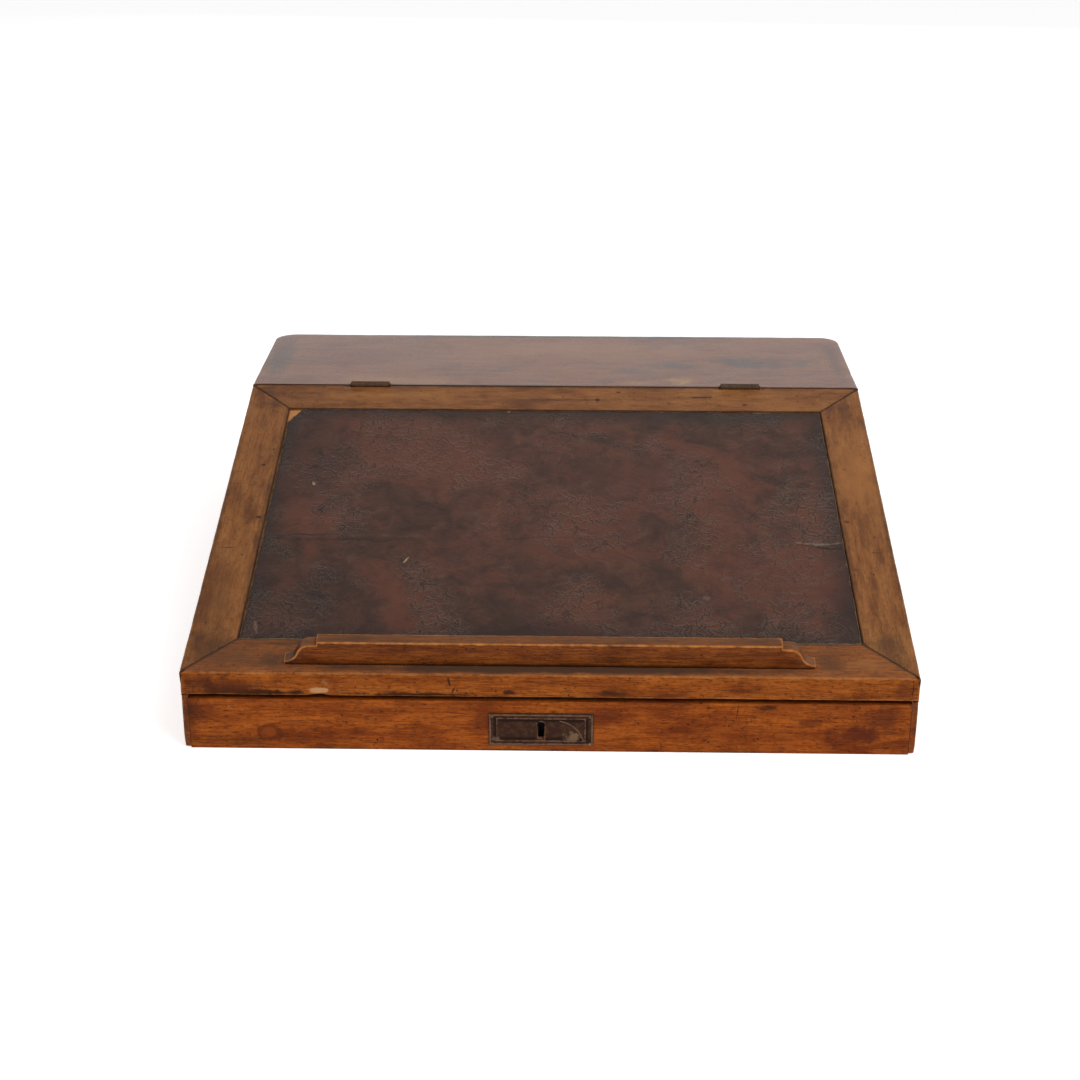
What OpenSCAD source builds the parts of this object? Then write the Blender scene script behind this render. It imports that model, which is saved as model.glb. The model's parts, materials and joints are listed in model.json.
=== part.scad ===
// Table-top writing slope: a shallow wooden case with a flat rear deck, a hinged
// leather-topped slope with a paper ledge, a box lock, pigeonholes and a pen tray.
// Millimetres. The origin is the centre of the base, +X right, +Y back, +Z up.

/* [Case] */
// Overall width
case_w = 430; // [350:5:560]
// Overall depth, front to back
case_d = 420; // [350:5:520]
// Overall height, to the top of the deck
case_h = 126; // [100:1:170]
// Height of the front board
front_h = 33; // [33:1:45]
// Thickness of the front, back and side boards
board_t = 12; // [11:0.5:18]
// Thickness of the lip of a side board that laps the front board's end
lip_t = 4; // [2:0.5:6]
// Thickness of the bottom board
bottom_t = 6; // [4:0.5:6]
// Width of the rebate that the bottom board lies in
rebate_w = 6; // [4:0.5:8]
// Radius of the two rear corners
corner_r = 14; // [6:1:30]

/* [Deck] */
// Depth of the flat deck, from the hinge line to the back
deck_d = 122; // [90:1:160]
// Thickness of the deck board
deck_t = 14; // [10:0.5:18]
// Height and thickness of the rail under the deck's front edge
rail_size = 17; // [12:1:24]

/* [Lid] */
// Thickness of the lid
lid_t = 14.5; // [12:0.5:20]
// Gap between the front board and the lid
lid_gap = 2; // [1:0.5:4]
// Width of the four mitred frame members
frame_w = 30; // [24:1:50]
// Thickness of the panel's tongue
tongue_t = 5; // [3:0.5:6]
// How far the tongue runs into the frame's groove
tongue_w = 6; // [3:0.5:9]
// How far the panel's back stands in from the underside of the lid
panel_set = 2.5; // [1:0.5:4]
// Thickness of the leather
leather_t = 1.3; // [0.8:0.1:2.5]
// How far the leather lies below the frame
leather_sunk = 0.4; // [0:0.1:1]

/* [Ledge] */
// Length of the paper ledge
ledge_len = 310; // [200:5:340]
// Height of the ledge above the lid
ledge_h = 17; // [12:0.5:24]
// Thickness of the ledge
ledge_t = 8.5; // [6:0.5:12]
// Distance from the lid's front edge to the ledge
ledge_setback = 7.5; // [3:0.5:12]
// Length of each shaped end
ledge_end = 20; // [14:1:30]
// Height of the square step above each shaped end
ledge_step = 2.5; // [1.5:0.5:5]

/* [Hinges] */
// Length of each butt hinge
hinge_len = 27; // [20:1:50]
// Distance of each hinge's middle from the centre line
hinge_x = 131; // [80:1:160]
// Width of each leaf below its knuckles
leaf_h = 9; // [7:0.5:12]
// Thickness of each leaf
leaf_t = 1.2; // [0.8:0.1:2]
// Radius of the knuckles
knuckle_r = 2; // [1.7:0.1:3]
// Radius of the hinge pin
pin_r = 1; // [0.7:0.1:1.4]
// Height of the hinge axis above the lid's top face
axis_up = 0.8; // [0.5:0.1:1.5]
// Gap between the deck and the lid
joint_gap = 0.8; // [0.6:0.1:1.5]

/* [Lock] */
// Place of the lock across the front
lock_x = -4.5; // [-60:0.5:60]
// Width of the lock's plate
lock_w = 64; // [58:1:90]
// Thickness of the lock's plates
plate_t = 1.5; // [1:0.1:2]
// Wall of the lock's case
lock_wall = 0.8; // [0.6:0.1:1.2]
// Depth of the key axis below the front board's top edge
key_drop = 15.55; // [15:0.1:17]
// Radius of the keyhole
keyhole_r = 2.45; // [2:0.05:3]
// Width of the keyhole's slot
keyslot_w = 3.5; // [2.5:0.1:4]
// Length of the keyhole below its centre
keyslot_len = 9.5; // [7:0.05:10]
// Travel of the bolt
bolt_travel = 5; // [3:0.5:5.5]
// Thickness of the bolt
bolt_t = 1.4; // [1:0.1:1.8]

/* [Escutcheon] */
// Width of the escutcheon
esc_w = 61.5; // [40:0.5:80]
// Height of the escutcheon
esc_h = 21; // [18:0.5:24]
// Thickness of the escutcheon's sheet
esc_t = 0.7; // [0.5:0.1:1.5]
// How far its rim stands proud of the sheet
esc_rim = 0.5; // [0.3:0.1:1]

/* [Interior] */
// Thickness of the pigeonhole partitions
partition_t = 7; // [5:0.5:12]
// Number of pigeonholes
pigeonholes = 4; // [2:1:6]
// Thickness of the pen tray's floor
tray_t = 5; // [4:0.5:8]
// Depth of the pen tray, front to back
tray_d = 56; // [40:1:80]
// Height of the pen tray's lips above its floor
tray_lip_h = 12; // [8:1:20]
// Thickness of the pen tray's lips
tray_lip_t = 4; // [3:0.5:6]

/* [Hidden] */
$fn = 64;

// Colours
case_wood = "#9c5a24";
lid_wood = "#a5652c";
deck_wood = "#7d4f33";
inner_wood = "#c49a68";
hide = "#4a2a22";
old_iron = "#4b3f38";
old_brass = "#8d7440";
steel = "#8a8a88";

// Clearances
fit = 0.1;          // between pieces that are let into each other
rest_gap = 0.3;     // between the closed lid and the side boards
leaf_clear = 0.1;   // between each leaf and the hinge's middle plane
running = 0.05;     // radial, pin in the lid leaf's knuckles
guide_play = 0.08;  // radial, the bolt's slots on their studs
tongue_play = 0.3;  // round the panel's tongue, and between the leather and the frame
eps = 0.01;

// Case planes
front_y = -case_d / 2;
rear_y = case_d / 2;
side_x = case_w / 2;
in_front_y = front_y + board_t;
in_rear_y = rear_y - board_t;
in_x = side_x - board_t;
hinge_y = rear_y - deck_d;
deck_under = case_h - deck_t;

// Slope: the lid's underside meets the front gap, and its top face the hinge line
lid_run = hinge_y - front_y;
lid_rise = case_h - front_h - lid_gap;
slope = atan(lid_rise / lid_run) - asin(lid_t / norm([lid_run, lid_rise]));
lid_len = lid_run / cos(slope);
deck_edge_y = hinge_y + deck_t * tan(slope);
function lid_under(y) = case_h - (hinge_y - y) * tan(slope) - lid_t / cos(slope);

// Lid, in its own flat frame: the hinge line is y = 0, the top face z = 0
open_front = -(lid_len - frame_w);
open_rear = -(joint_gap + frame_w);
open_x = side_x - frame_w;
panel_top = -(leather_sunk + leather_t);
tongue_top = panel_top - (lid_t - panel_set + panel_top - tongue_t) / 2;

// Mitre points: inner corners, and outer ones carried past the frame along the mitre
past = 20;
inner_front = [open_x, open_front];
outer_front = [side_x + past, -lid_len - past];
inner_rear = [open_x, open_rear];
outer_rear = [side_x + past, -joint_gap + past];
function flip(p) = [-p[0], p[1]];

// Hinge axis in the lid's frame, and in the case's
axis_y = -joint_gap / 2;
axis_z = axis_up;
axis_world_y = hinge_y + axis_y * cos(slope) - axis_z * sin(slope);
axis_world_z = case_h + axis_y * sin(slope) + axis_z * cos(slope);
knuckles = 5;
leaf_top = axis_z - knuckle_r - 0.25;

// Screws and nails
screw_r = 1.1;
screw_head_r = 2.1;
screw_head_h = 1.1;
nail_r = 0.9;

// Lock: heights hang from the front board's top edge, depths from its inner face
lock_top = front_h;
lock_under = lock_top - plate_t;
lock_foot = bottom_t + 1;
lock_case_w = lock_w - 10;
key_z = lock_top - key_drop;
loop_x = lock_w / 4 - 1;
loop_t = 2.2;
loop_w = 3.6;
loop_foot = lock_top - 6;
loop_gap = 0.3;
loop_rear = in_front_y - plate_t - loop_gap;
loop_front = loop_rear - loop_w;
// How far forward the loops swing while they lift out of the lock
swing = (axis_world_z - loop_foot) / (axis_world_y - loop_front);
lock_room = loop_gap + loop_w + swing * (lock_under - loop_foot) + 0.4;
slot_room = loop_gap + loop_w + swing * (lock_top - loop_foot) + 0.4;
lock_case_front = in_front_y - plate_t - lock_room - lock_wall;
selvedge_front = in_front_y - plate_t - slot_room - 1;
eye_w = 2;
eye_z0 = loop_foot + 1.2;
eye_z1 = lock_under - 0.7;
prong_z0 = eye_z0 + 0.3;
prong_z1 = eye_z1 - 0.3;
bolt_y = (loop_rear + loop_front) / 2;
bar_z0 = loop_foot - 5;
bar_z1 = loop_foot - 0.4;
bar_left = -(lock_case_w / 2 - lock_wall - 1);
bar_right = lock_case_w / 2 - lock_wall - bolt_travel - 1;
prong_tip = loop_x - loop_t / 2 - 0.4;
stump_r = 0.8;
stump_x = 11;
stump_z = (bar_z0 + bar_z1) / 2;
esc_z = key_z - 2.85;
esc_pin_r = 0.5;

// Middle of the link plate in the lid's frame, over the loops
link_y = (bolt_y - hinge_y - lid_t * sin(slope)) / cos(slope);
link_w = lock_w - 6;
link_d = 9;

// Ledge
ledge_tier = ledge_h - ledge_step;
ledge_tip = 2.5;
ledge_flat = 3.5;
ledge_steps = 10;

// Interior
rail_y0 = deck_edge_y + 2;
rail_y1 = rail_y0 + rail_size;
tray_y1 = rail_y0 - 6;
tray_y0 = tray_y1 - tray_d;
tray_z = lid_under(tray_y0) - tray_lip_h - tray_t - 8;
cleat_size = 9;

// ---------------------------------------------------------------- helpers

// Extrudes a (y, z) outline along X
module along_x(length) {
    rotate([90, 0, 90]) linear_extrude(length, center = true) children();
}

// Extrudes an (x, z) outline along Y, from y0 to y1
module along_y(y0, y1) {
    translate([0, y1, 0]) rotate([90, 0, 0]) linear_extrude(y1 - y0) children();
}

// A block between two corners
module block(low, high) {
    translate(low) cube(high - low);
}

// Puts the lid's flat frame on the slope
module on_slope() {
    translate([0, hinge_y, case_h]) rotate([slope, 0, 0]) children();
}

// Countersunk screw with its head's face at z = 0 and its point at z = -length
module screw(length) {
    difference() {
        union() {
            translate([0, 0, -screw_head_h])
                cylinder(r1 = screw_r, r2 = screw_head_r, h = screw_head_h, $fn = 32);
            translate([0, 0, -(length - 2)]) cylinder(r = screw_r, h = length - 2, $fn = 32);
            translate([0, 0, -length]) cylinder(r1 = 0.2, r2 = screw_r, h = 2, $fn = 32);
        }
        translate([-screw_head_r, -0.25, -0.45]) cube([2 * screw_head_r, 0.5, 1]);
    }
}

// The hole that a screw's head lies in, opening at z = 0
module countersink(depth) {
    translate([0, 0, -screw_head_h - fit])
        cylinder(r1 = screw_r + fit / 2, r2 = screw_head_r + fit, h = screw_head_h + fit + eps, $fn = 32);
    translate([0, 0, -depth - 1]) cylinder(r = screw_r + fit / 2, h = depth + 1, $fn = 32);
}

// Round nail with its head's face at z = 0 and its point at z = -length
module nail(length) {
    translate([0, 0, -0.8]) cylinder(r = 1.7, h = 0.8, $fn = 24);
    translate([0, 0, -(length - 2)]) cylinder(r = nail_r, h = length - 2.8 + eps, $fn = 24);
    translate([0, 0, -length]) cylinder(r1 = 0.2, r2 = nail_r, h = 2, $fn = 24);
}

// ---------------------------------------------------------------- case

// Plan of the case, with its two round rear corners
module footprint() {
    translate([-side_x, front_y]) square([case_w, case_d - corner_r]);
    translate([-side_x + corner_r, front_y]) square([case_w - 2 * corner_r, case_d]);
    for (s = [-1, 1])
        translate([s * (side_x - corner_r), rear_y - corner_r]) circle(corner_r);
}

// The space that the bottom board lies in
module bottom_space() {
    grow = rebate_w + fit;
    block([-in_x - grow, in_front_y - grow, -1], [in_x + grow, in_rear_y + grow, bottom_t]);
}

module deck_prism() {
    along_x(case_w)
        polygon([[hinge_y, case_h], [deck_edge_y, deck_under], [rear_y, deck_under], [rear_y, case_h]]);
}

module keyhole(y0, y1) {
    translate([lock_x, 0, key_z]) along_y(y0, y1) {
        circle(keyhole_r);
        translate([-keyslot_w / 2, -keyslot_len]) square([keyslot_w, keyslot_len]);
    }
}

module front_board() {
    color(case_wood) difference() {
        block([-side_x + lip_t, front_y, 0], [side_x - lip_t, in_front_y, front_h]);
        bottom_space();
        translate([lock_x, 0, 0]) {
            block([-lock_w / 2 - fit, in_front_y - plate_t, lock_foot - fit],
                  [lock_w / 2 + fit, in_front_y + 1, front_h + 1]);
            block([-lock_w / 2 - fit, selvedge_front - fit, lock_under],
                  [lock_w / 2 + fit, in_front_y, front_h + 1]);
            block([-lock_case_w / 2 - fit, lock_case_front - fit, lock_foot - fit],
                  [lock_case_w / 2 + fit, in_front_y, front_h]);
        }
        keyhole(front_y - 1, in_front_y);
    }
}

// One side board; s is -1 for the left and 1 for the right
module side_board(s) {
    color(case_wood) difference() {
        intersection() {
            linear_extrude(case_h) footprint();
            translate([s * (side_x - board_t / 2), 0, 0]) along_x(board_t)
                polygon([
                    [front_y, 0], [rear_y, 0], [rear_y, deck_under], [deck_edge_y, deck_under],
                    [deck_edge_y, lid_under(deck_edge_y) - rest_gap],
                    [front_y, lid_under(front_y) - rest_gap]
                ]);
        }
        block([-side_x + lip_t, front_y - 1, -1], [side_x - lip_t, in_front_y, case_h]);
        bottom_space();
        deck_prism();
    }
}

module back_board() {
    color(case_wood) difference() {
        intersection() {
            linear_extrude(deck_under) footprint();
            block([-in_x, in_rear_y, 0], [in_x, rear_y, deck_under]);
        }
        bottom_space();
    }
}

module bottom_board() {
    color(inner_wood)
        block([-in_x - rebate_w, in_front_y - rebate_w, 0], [in_x + rebate_w, in_rear_y + rebate_w, bottom_t]);
}

module deck_board() {
    color(deck_wood) difference() {
        intersection() {
            linear_extrude(case_h + 1) footprint();
            deck_prism();
        }
        on_slope() for (s = [-1, 1]) translate([s * hinge_x, 0, 0]) hinge_cut(1);
    }
}

module hinge_rail() {
    color(inner_wood) block([-in_x, rail_y0, deck_under - rail_size], [in_x, rail_y1, deck_under]);
}

module pigeonhole_partitions() {
    pitch = 2 * in_x / pigeonholes;
    color(inner_wood) for (i = [1 : pigeonholes - 1])
        translate([-in_x + i * pitch, 0, 0])
            block([-partition_t / 2, rail_y1, bottom_t], [partition_t / 2, in_rear_y, deck_under]);
}

module tray_floor() {
    color(inner_wood) block([-in_x, tray_y0, tray_z], [in_x, tray_y1, tray_z + tray_t]);
}

module tray_lips() {
    color(inner_wood) for (y = [tray_y0, tray_y1 - tray_lip_t])
        block([-in_x, y, tray_z + tray_t], [in_x, y + tray_lip_t, tray_z + tray_t + tray_lip_h]);
}

module tray_cleats() {
    color(inner_wood) for (s = [-1, 1])
        translate([s * (in_x - cleat_size / 2), 0, 0])
            block([-cleat_size / 2, tray_y0, tray_z - cleat_size], [cleat_size / 2, tray_y1, tray_z]);
}

// Nails up through the bottom board's edges
module bottom_nails() {
    edge = rebate_w / 2;
    across = [-0.9, -0.5, 0.5, 0.9] * in_x;
    along = [-0.7, -0.25, 0.25, 0.7] * in_rear_y;
    color(steel) {
        for (x = across, y = [in_front_y - edge, in_rear_y + edge])
            translate([x, y, 0]) mirror([0, 0, 1]) nail(bottom_t + 14);
        for (s = [-1, 1], y = along)
            translate([s * (in_x + edge), y, 0]) mirror([0, 0, 1]) nail(bottom_t + 14);
    }
}

// Nails through the side boards into the ends of the front and back boards, set under the surface
module side_nails() {
    front = [for (z = [0.3, 0.75]) [front_y + board_t / 2, z * front_h]];
    back = [for (z = [0.2, 0.5, 0.8]) [in_rear_y + board_t / 4, z * deck_under]];
    color(steel) for (s = [-1, 1], p = concat(front, back))
        translate([s * (side_x - 1.5), p[0], p[1]]) rotate([0, s * 90, 0]) nail(26);
}

// Nails down through the deck into the side and back boards, set under the surface
module deck_nails() {
    side_ys = [for (t = [0.2, 0.6]) hinge_y + t * deck_d];
    color(steel) {
        for (s = [-1, 1], y = side_ys)
            translate([s * (side_x - board_t / 2), y, case_h - 1.5]) nail(deck_t + 14);
        for (x = [-0.85, -0.3, 0.3, 0.85] * in_x)
            translate([x, rear_y - board_t / 2, case_h - 1.5]) nail(deck_t + 14);
    }
}

// ---------------------------------------------------------------- lid

// The whole frame before it is cut into four mitred members
module lid_ring() {
    foot = lid_t * tan(slope);
    difference() {
        along_x(case_w)
            polygon([[-joint_gap, 0], [-joint_gap, -lid_t], [-lid_len - foot, -lid_t], [-lid_len, 0]]);
        block([-open_x, open_front, -lid_t - 1], [open_x, open_rear, 1]);
        block([-open_x - tongue_w - tongue_play, open_front - tongue_w - tongue_play, tongue_top - tongue_t - fit],
              [open_x + tongue_w + tongue_play, open_rear + tongue_w + tongue_play, tongue_top + fit]);
    }
}

// One member of the frame: the part of the ring over a plan outline
module lid_member(outline) {
    intersection() {
        lid_ring();
        translate([0, 0, -lid_t - 1]) linear_extrude(lid_t + 2) polygon(outline);
    }
}

module lid_front_rail() {
    color(lid_wood) on_slope() difference() {
        lid_member([flip(outer_front), outer_front, inner_front, flip(inner_front)]);
        link_recess();
    }
}

module lid_rear_rail() {
    color(lid_wood) on_slope() difference() {
        lid_member([flip(outer_rear), outer_rear, inner_rear, flip(inner_rear)]);
        for (s = [-1, 1]) translate([s * hinge_x, 0, 0]) hinge_cut(-1);
    }
}

// One stile; s is -1 for the left and 1 for the right
module lid_stile(s) {
    color(lid_wood) on_slope() mirror([s < 0 ? 1 : 0, 0, 0])
        lid_member([inner_front, outer_front, outer_rear, inner_rear]);
}

module lid_panel() {
    color(inner_wood) on_slope() {
        block([-open_x + fit, open_front + fit, -lid_t + panel_set], [open_x - fit, open_rear - fit, panel_top]);
        block([-open_x - tongue_w, open_front - tongue_w, tongue_top - tongue_t],
              [open_x + tongue_w, open_rear + tongue_w, tongue_top]);
    }
}

module writing_leather() {
    color(hide) on_slope()
        block([-open_x + tongue_play, open_front + tongue_play, panel_top],
              [open_x - tongue_play, open_rear - tongue_play, panel_top + leather_t]);
}

// Right-hand half of the ledge's outline, from its foot over the tip, up the S and the step to its top
function ledge_half() =
    let (
        start = ledge_len / 2 - ledge_end,
        curve_x = start + ledge_flat,
        run = ledge_len / 2 - curve_x,
        bend = 2 * atan((ledge_tier - ledge_tip) / run),
        arc_r = run / 2 / sin(bend),
        hollow = [for (i = [0 : ledge_steps]) let (a = bend * i / ledge_steps)
            [ledge_len / 2 - arc_r * sin(a), ledge_tip + arc_r * (1 - cos(a))]],
        swell = [for (i = [1 : ledge_steps]) let (a = bend * (1 - i / ledge_steps))
            [curve_x + arc_r * sin(a), ledge_tier - arc_r * (1 - cos(a))]]
    )
    concat([[ledge_len / 2, 0]], hollow, swell, [[start, ledge_tier], [start, ledge_h]]);

module book_ledge() {
    front = -lid_len + ledge_setback;
    right = ledge_half();
    left = [for (i = [len(right) - 1 : -1 : 0]) flip(right[i])];
    color(lid_wood) on_slope() along_y(front, front + ledge_t) polygon(concat(right, left));
}

// Screws up through the front rail into the ledge
module ledge_screws() {
    color(steel) on_slope()
        for (x = [-0.42, -0.2, 0.2, 0.42] * ledge_len)
            translate([x, -lid_len + ledge_setback + ledge_t / 2, -lid_t])
                mirror([0, 0, 1]) screw(lid_t + 10);
}

// ---------------------------------------------------------------- hinges

// What the deck (side 1) or the lid (side -1) is cut away for a hinge
module hinge_cut(side) {
    deep = leaf_clear + leaf_t + fit;
    y0 = side > 0 ? axis_y : axis_y - deep;
    block([-hinge_len / 2 - fit, y0, -leaf_h - fit], [hinge_len / 2 + fit, y0 + deep, knuckle_r + 3]);
    translate([-hinge_len / 2 - 1, axis_y, axis_z]) rotate([0, 90, 0])
        cylinder(r = knuckle_r + 0.2, h = hinge_len + 2);
}

// One leaf with its knuckles; side 1 is the deck's and has the odd knuckles, side -1 the lid's
module hinge_leaf(s, side) {
    step = hinge_len / knuckles;
    mine = side > 0 ? [0, 2, 4] : [1, 3];
    inner = axis_y + side * leaf_clear;
    y0 = side > 0 ? inner : inner - leaf_t;
    bore = side > 0 ? pin_r : pin_r + running;
    color(old_brass) on_slope() translate([s * hinge_x, 0, 0]) difference() {
        union() {
            block([-hinge_len / 2, y0, -leaf_h], [hinge_len / 2, y0 + leaf_t, leaf_top]);
            for (i = mine) translate([-hinge_len / 2 + i * step + fit / 2, 0, 0]) {
                block([0, y0, leaf_top - eps], [step - fit, y0 + leaf_t, axis_z]);
                translate([0, axis_y, axis_z]) rotate([0, 90, 0]) cylinder(r = knuckle_r, h = step - fit);
            }
        }
        translate([-hinge_len, axis_y, axis_z]) rotate([0, 90, 0]) cylinder(r = bore, h = 2 * hinge_len);
        hinge_screw_places(side) countersink(leaf_t);
    }
}

// The two screw places on a leaf, with +Z out of the leaf's face
module hinge_screw_places(side) {
    for (x = [-0.3, 0.3] * hinge_len)
        translate([x, axis_y + side * leaf_clear, (leaf_top - leaf_h) / 2])
            rotate([side * 90, 0, 0]) children();
}

module hinge_pin(s) {
    color(old_brass) on_slope()
        translate([s * hinge_x - hinge_len / 2 - 0.5, axis_y, axis_z]) rotate([0, 90, 0])
            cylinder(r = pin_r, h = hinge_len + 1);
}

module hinge_screws(side) {
    color(steel) on_slope() for (s = [-1, 1])
        translate([s * hinge_x, 0, 0]) hinge_screw_places(side) screw(10);
}

// ---------------------------------------------------------------- lock

module escutcheon() {
    color(old_iron) difference() {
        translate([lock_x, 0, esc_z]) union() {
            block([-esc_w / 2, front_y - esc_t, -esc_h / 2], [esc_w / 2, front_y, esc_h / 2]);
            difference() {
                block([-esc_w / 2, front_y - esc_t - esc_rim, -esc_h / 2], [esc_w / 2, front_y, esc_h / 2]);
                block([-esc_w / 2 + 4.4, front_y - 5, -esc_h / 2 + 3.2], [esc_w / 2 - 4.4, front_y + 1, esc_h / 2 - 3.2]);
            }
        }
        keyhole(front_y - 5, front_y + 1);
    }
}

// Round-headed pins at the escutcheon's corners
module escutcheon_pins() {
    rim_y = front_y - esc_t - esc_rim;
    color(old_brass)
        for (x = [-1, 1] * (esc_w / 2 - 2.2), z = [-1, 1] * (esc_h / 2 - 1.6))
            translate([lock_x + x, rim_y, esc_z + z]) {
                intersection() {
                    sphere(0.8, $fn = 32);
                    block([-1, -1, -1], [1, 0, 1]);
                }
                rotate([-90, 0, 0]) cylinder(r = esc_pin_r, h = 6, $fn = 24);
            }
}

// Back plate and selvedge in one bent piece, slotted for the link plate's loops
module lock_plate() {
    color(old_brass) translate([lock_x, 0, 0]) difference() {
        union() {
            block([-lock_w / 2, in_front_y - plate_t, lock_foot], [lock_w / 2, in_front_y, lock_top]);
            block([-lock_w / 2, selvedge_front, lock_under], [lock_w / 2, in_front_y, lock_top]);
        }
        for (x = [-loop_x, loop_x])
            block([x - loop_t / 2 - 0.5, in_front_y - plate_t - slot_room, lock_under - 1],
                  [x + loop_t / 2 + 0.5, in_front_y - plate_t, lock_top + 1]);
        lock_screw_places() countersink(plate_t);
    }
}

// The four screw places on the lock's back plate, with +Z out of its face
module lock_screw_places() {
    for (x = [-1, 1] * (lock_w / 2 - 2.6), z = [lock_foot + 4, lock_top - 6])
        translate([x, in_front_y, z]) rotate([-90, 0, 0]) children();
}

module lock_screws() {
    color(steel) translate([lock_x, 0, 0]) lock_screw_places() screw(7.5);
}

// Box over the works, open at the back and the top
module lock_case() {
    half = lock_case_w / 2;
    rear = in_front_y - plate_t;
    color(old_brass) difference() {
        translate([lock_x, 0, 0]) difference() {
            block([-half, lock_case_front, lock_foot], [half, rear, lock_under]);
            block([-half + lock_wall, lock_case_front + lock_wall, lock_foot + lock_wall],
                  [half - lock_wall, rear + 1, lock_under + 1]);
        }
        keyhole(lock_case_front - 1, lock_case_front + lock_wall + eps);
    }
}

// Post that a hollow key turns on
module drill_pin() {
    color(steel) translate([lock_x, in_front_y - plate_t, key_z]) rotate([90, 0, 0])
        cylinder(r = 1.1, h = lock_room - 0.4, $fn = 32);
}

// Studs that guide the bolt
module bolt_stumps() {
    color(steel) for (x = [-stump_x, stump_x])
        translate([lock_x + x, in_front_y - plate_t, stump_z]) rotate([90, 0, 0])
            cylinder(r = stump_r, h = loop_gap + loop_w, $fn = 32);
}

// Flat bar with a talon for the key, two guide slots and two hooks
module lock_bolt() {
    slot_r = stump_r + guide_play;
    color(old_brass) translate([lock_x, 0, 0]) along_y(bolt_y - bolt_t / 2, bolt_y + bolt_t / 2) {
        difference() {
            translate([bar_left, bar_z0]) square([bar_right - bar_left, bar_z1 - bar_z0]);
            translate([-bolt_travel / 2 - 3, bar_z0 - 1]) square([6, 3]);
            for (x = [-stump_x, stump_x]) {
                for (d = [0, bolt_travel]) translate([x - d, stump_z]) circle(slot_r);
                translate([x - bolt_travel, stump_z - slot_r]) square([bolt_travel, 2 * slot_r]);
            }
        }
        for (s = [-1, 1]) translate([s * loop_x - loop_x + prong_tip, 0]) {
            translate([-bolt_travel - 3.5, bar_z1 - eps]) square([2.8, prong_z1 - bar_z1 + eps]);
            translate([-bolt_travel - 1, prong_z0]) square([bolt_travel + 1, prong_z1 - prong_z0]);
        }
    }
}

// Bowed leaf on the bolt that presses on the selvedge
module bolt_spring() {
    half = 6.5;
    rise = lock_under - 0.2 - bar_z1;
    bow_r = (half * half + rise * rise) / (2 * rise);
    color(steel) translate([lock_x - 4.5, 0, bar_z1]) along_y(bolt_y - 0.6, bolt_y + 0.6)
        intersection() {
            translate([0, rise - bow_r]) difference() {
                circle(bow_r);
                circle(bow_r - 0.4);
            }
            translate([-half, 0]) square([2 * half, rise + 1]);
        }
}

module link_recess() {
    translate([lock_x, link_y, -lid_t])
        block([-link_w / 2 - fit, -link_d / 2 - fit, -1], [link_w / 2 + fit, link_d / 2 + fit, plate_t]);
}

// Screw places in the link plate, with +Z out of its lower face
module link_screw_places() {
    for (x = [-1, 1] * (link_w / 2 - 5))
        translate([lock_x + x, link_y, -lid_t]) mirror([0, 0, 1]) children();
}

// Plate let into the lid, with two eyed loops that drop into the lock
module lock_link_plate() {
    color(old_brass) {
        on_slope() difference() {
            translate([lock_x, link_y, -lid_t])
                block([-link_w / 2, -link_d / 2, 0], [link_w / 2, link_d / 2, plate_t]);
            link_screw_places() countersink(plate_t);
        }
        for (s = [-1, 1]) translate([lock_x + s * loop_x, 0, 0]) difference() {
            block([-loop_t / 2, loop_front, loop_foot], [loop_t / 2, loop_rear, lid_under(loop_front) + 1]);
            block([-loop_t, bolt_y - eye_w / 2, eye_z0], [loop_t, bolt_y + eye_w / 2, eye_z1]);
        }
    }
}

module link_screws() {
    color(steel) on_slope() link_screw_places() screw(10);
}

// ---------------------------------------------------------------- assembly

front_board();
side_board(-1);  // left_side
side_board(1);  // right_side
back_board();
bottom_board();
deck_board();
hinge_rail();
pigeonhole_partitions();
tray_floor();
tray_lips();
tray_cleats();
bottom_nails();
side_nails();
deck_nails();
escutcheon();
escutcheon_pins();
lock_plate();
lock_case();
lock_screws();
drill_pin();
bolt_stumps();
lock_bolt();
bolt_spring();
hinge_leaf(-1, 1);  // hinge_left_deck_leaf
hinge_leaf(-1, -1);  // hinge_left_lid_leaf
hinge_pin(-1);  // hinge_left_pin
hinge_leaf(1, 1);  // hinge_right_deck_leaf
hinge_leaf(1, -1);  // hinge_right_lid_leaf
hinge_pin(1);  // hinge_right_pin
hinge_screws(1);  // hinge_screws_deck
hinge_screws(-1);  // hinge_screws_lid
lid_front_rail();
lid_rear_rail();
lid_stile(-1);  // lid_left_stile
lid_stile(1);  // lid_right_stile
lid_panel();
writing_leather();
book_ledge();
ledge_screws();
lock_link_plate();
link_screws();
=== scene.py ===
"""A worn table-top writing slope: its meshes, finishes, camera and light.

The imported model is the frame. Boards, ledge, leather, escutcheon and screws get detailed meshes in
its place; the other pieces keep their shape and get their finish here.
Everything is in metres: +X right, +Y back, +Z up, with the origin at the centre of the base.
"""

from __future__ import annotations

import json
import logging
import math
from collections.abc import Iterable, Mapping, Sequence
from dataclasses import dataclass, field
from enum import Enum
from typing import Any

import bmesh
import bpy
import numpy as np
from mathutils import Matrix, Vector, noise
from mathutils.bvhtree import BVHTree

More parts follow.
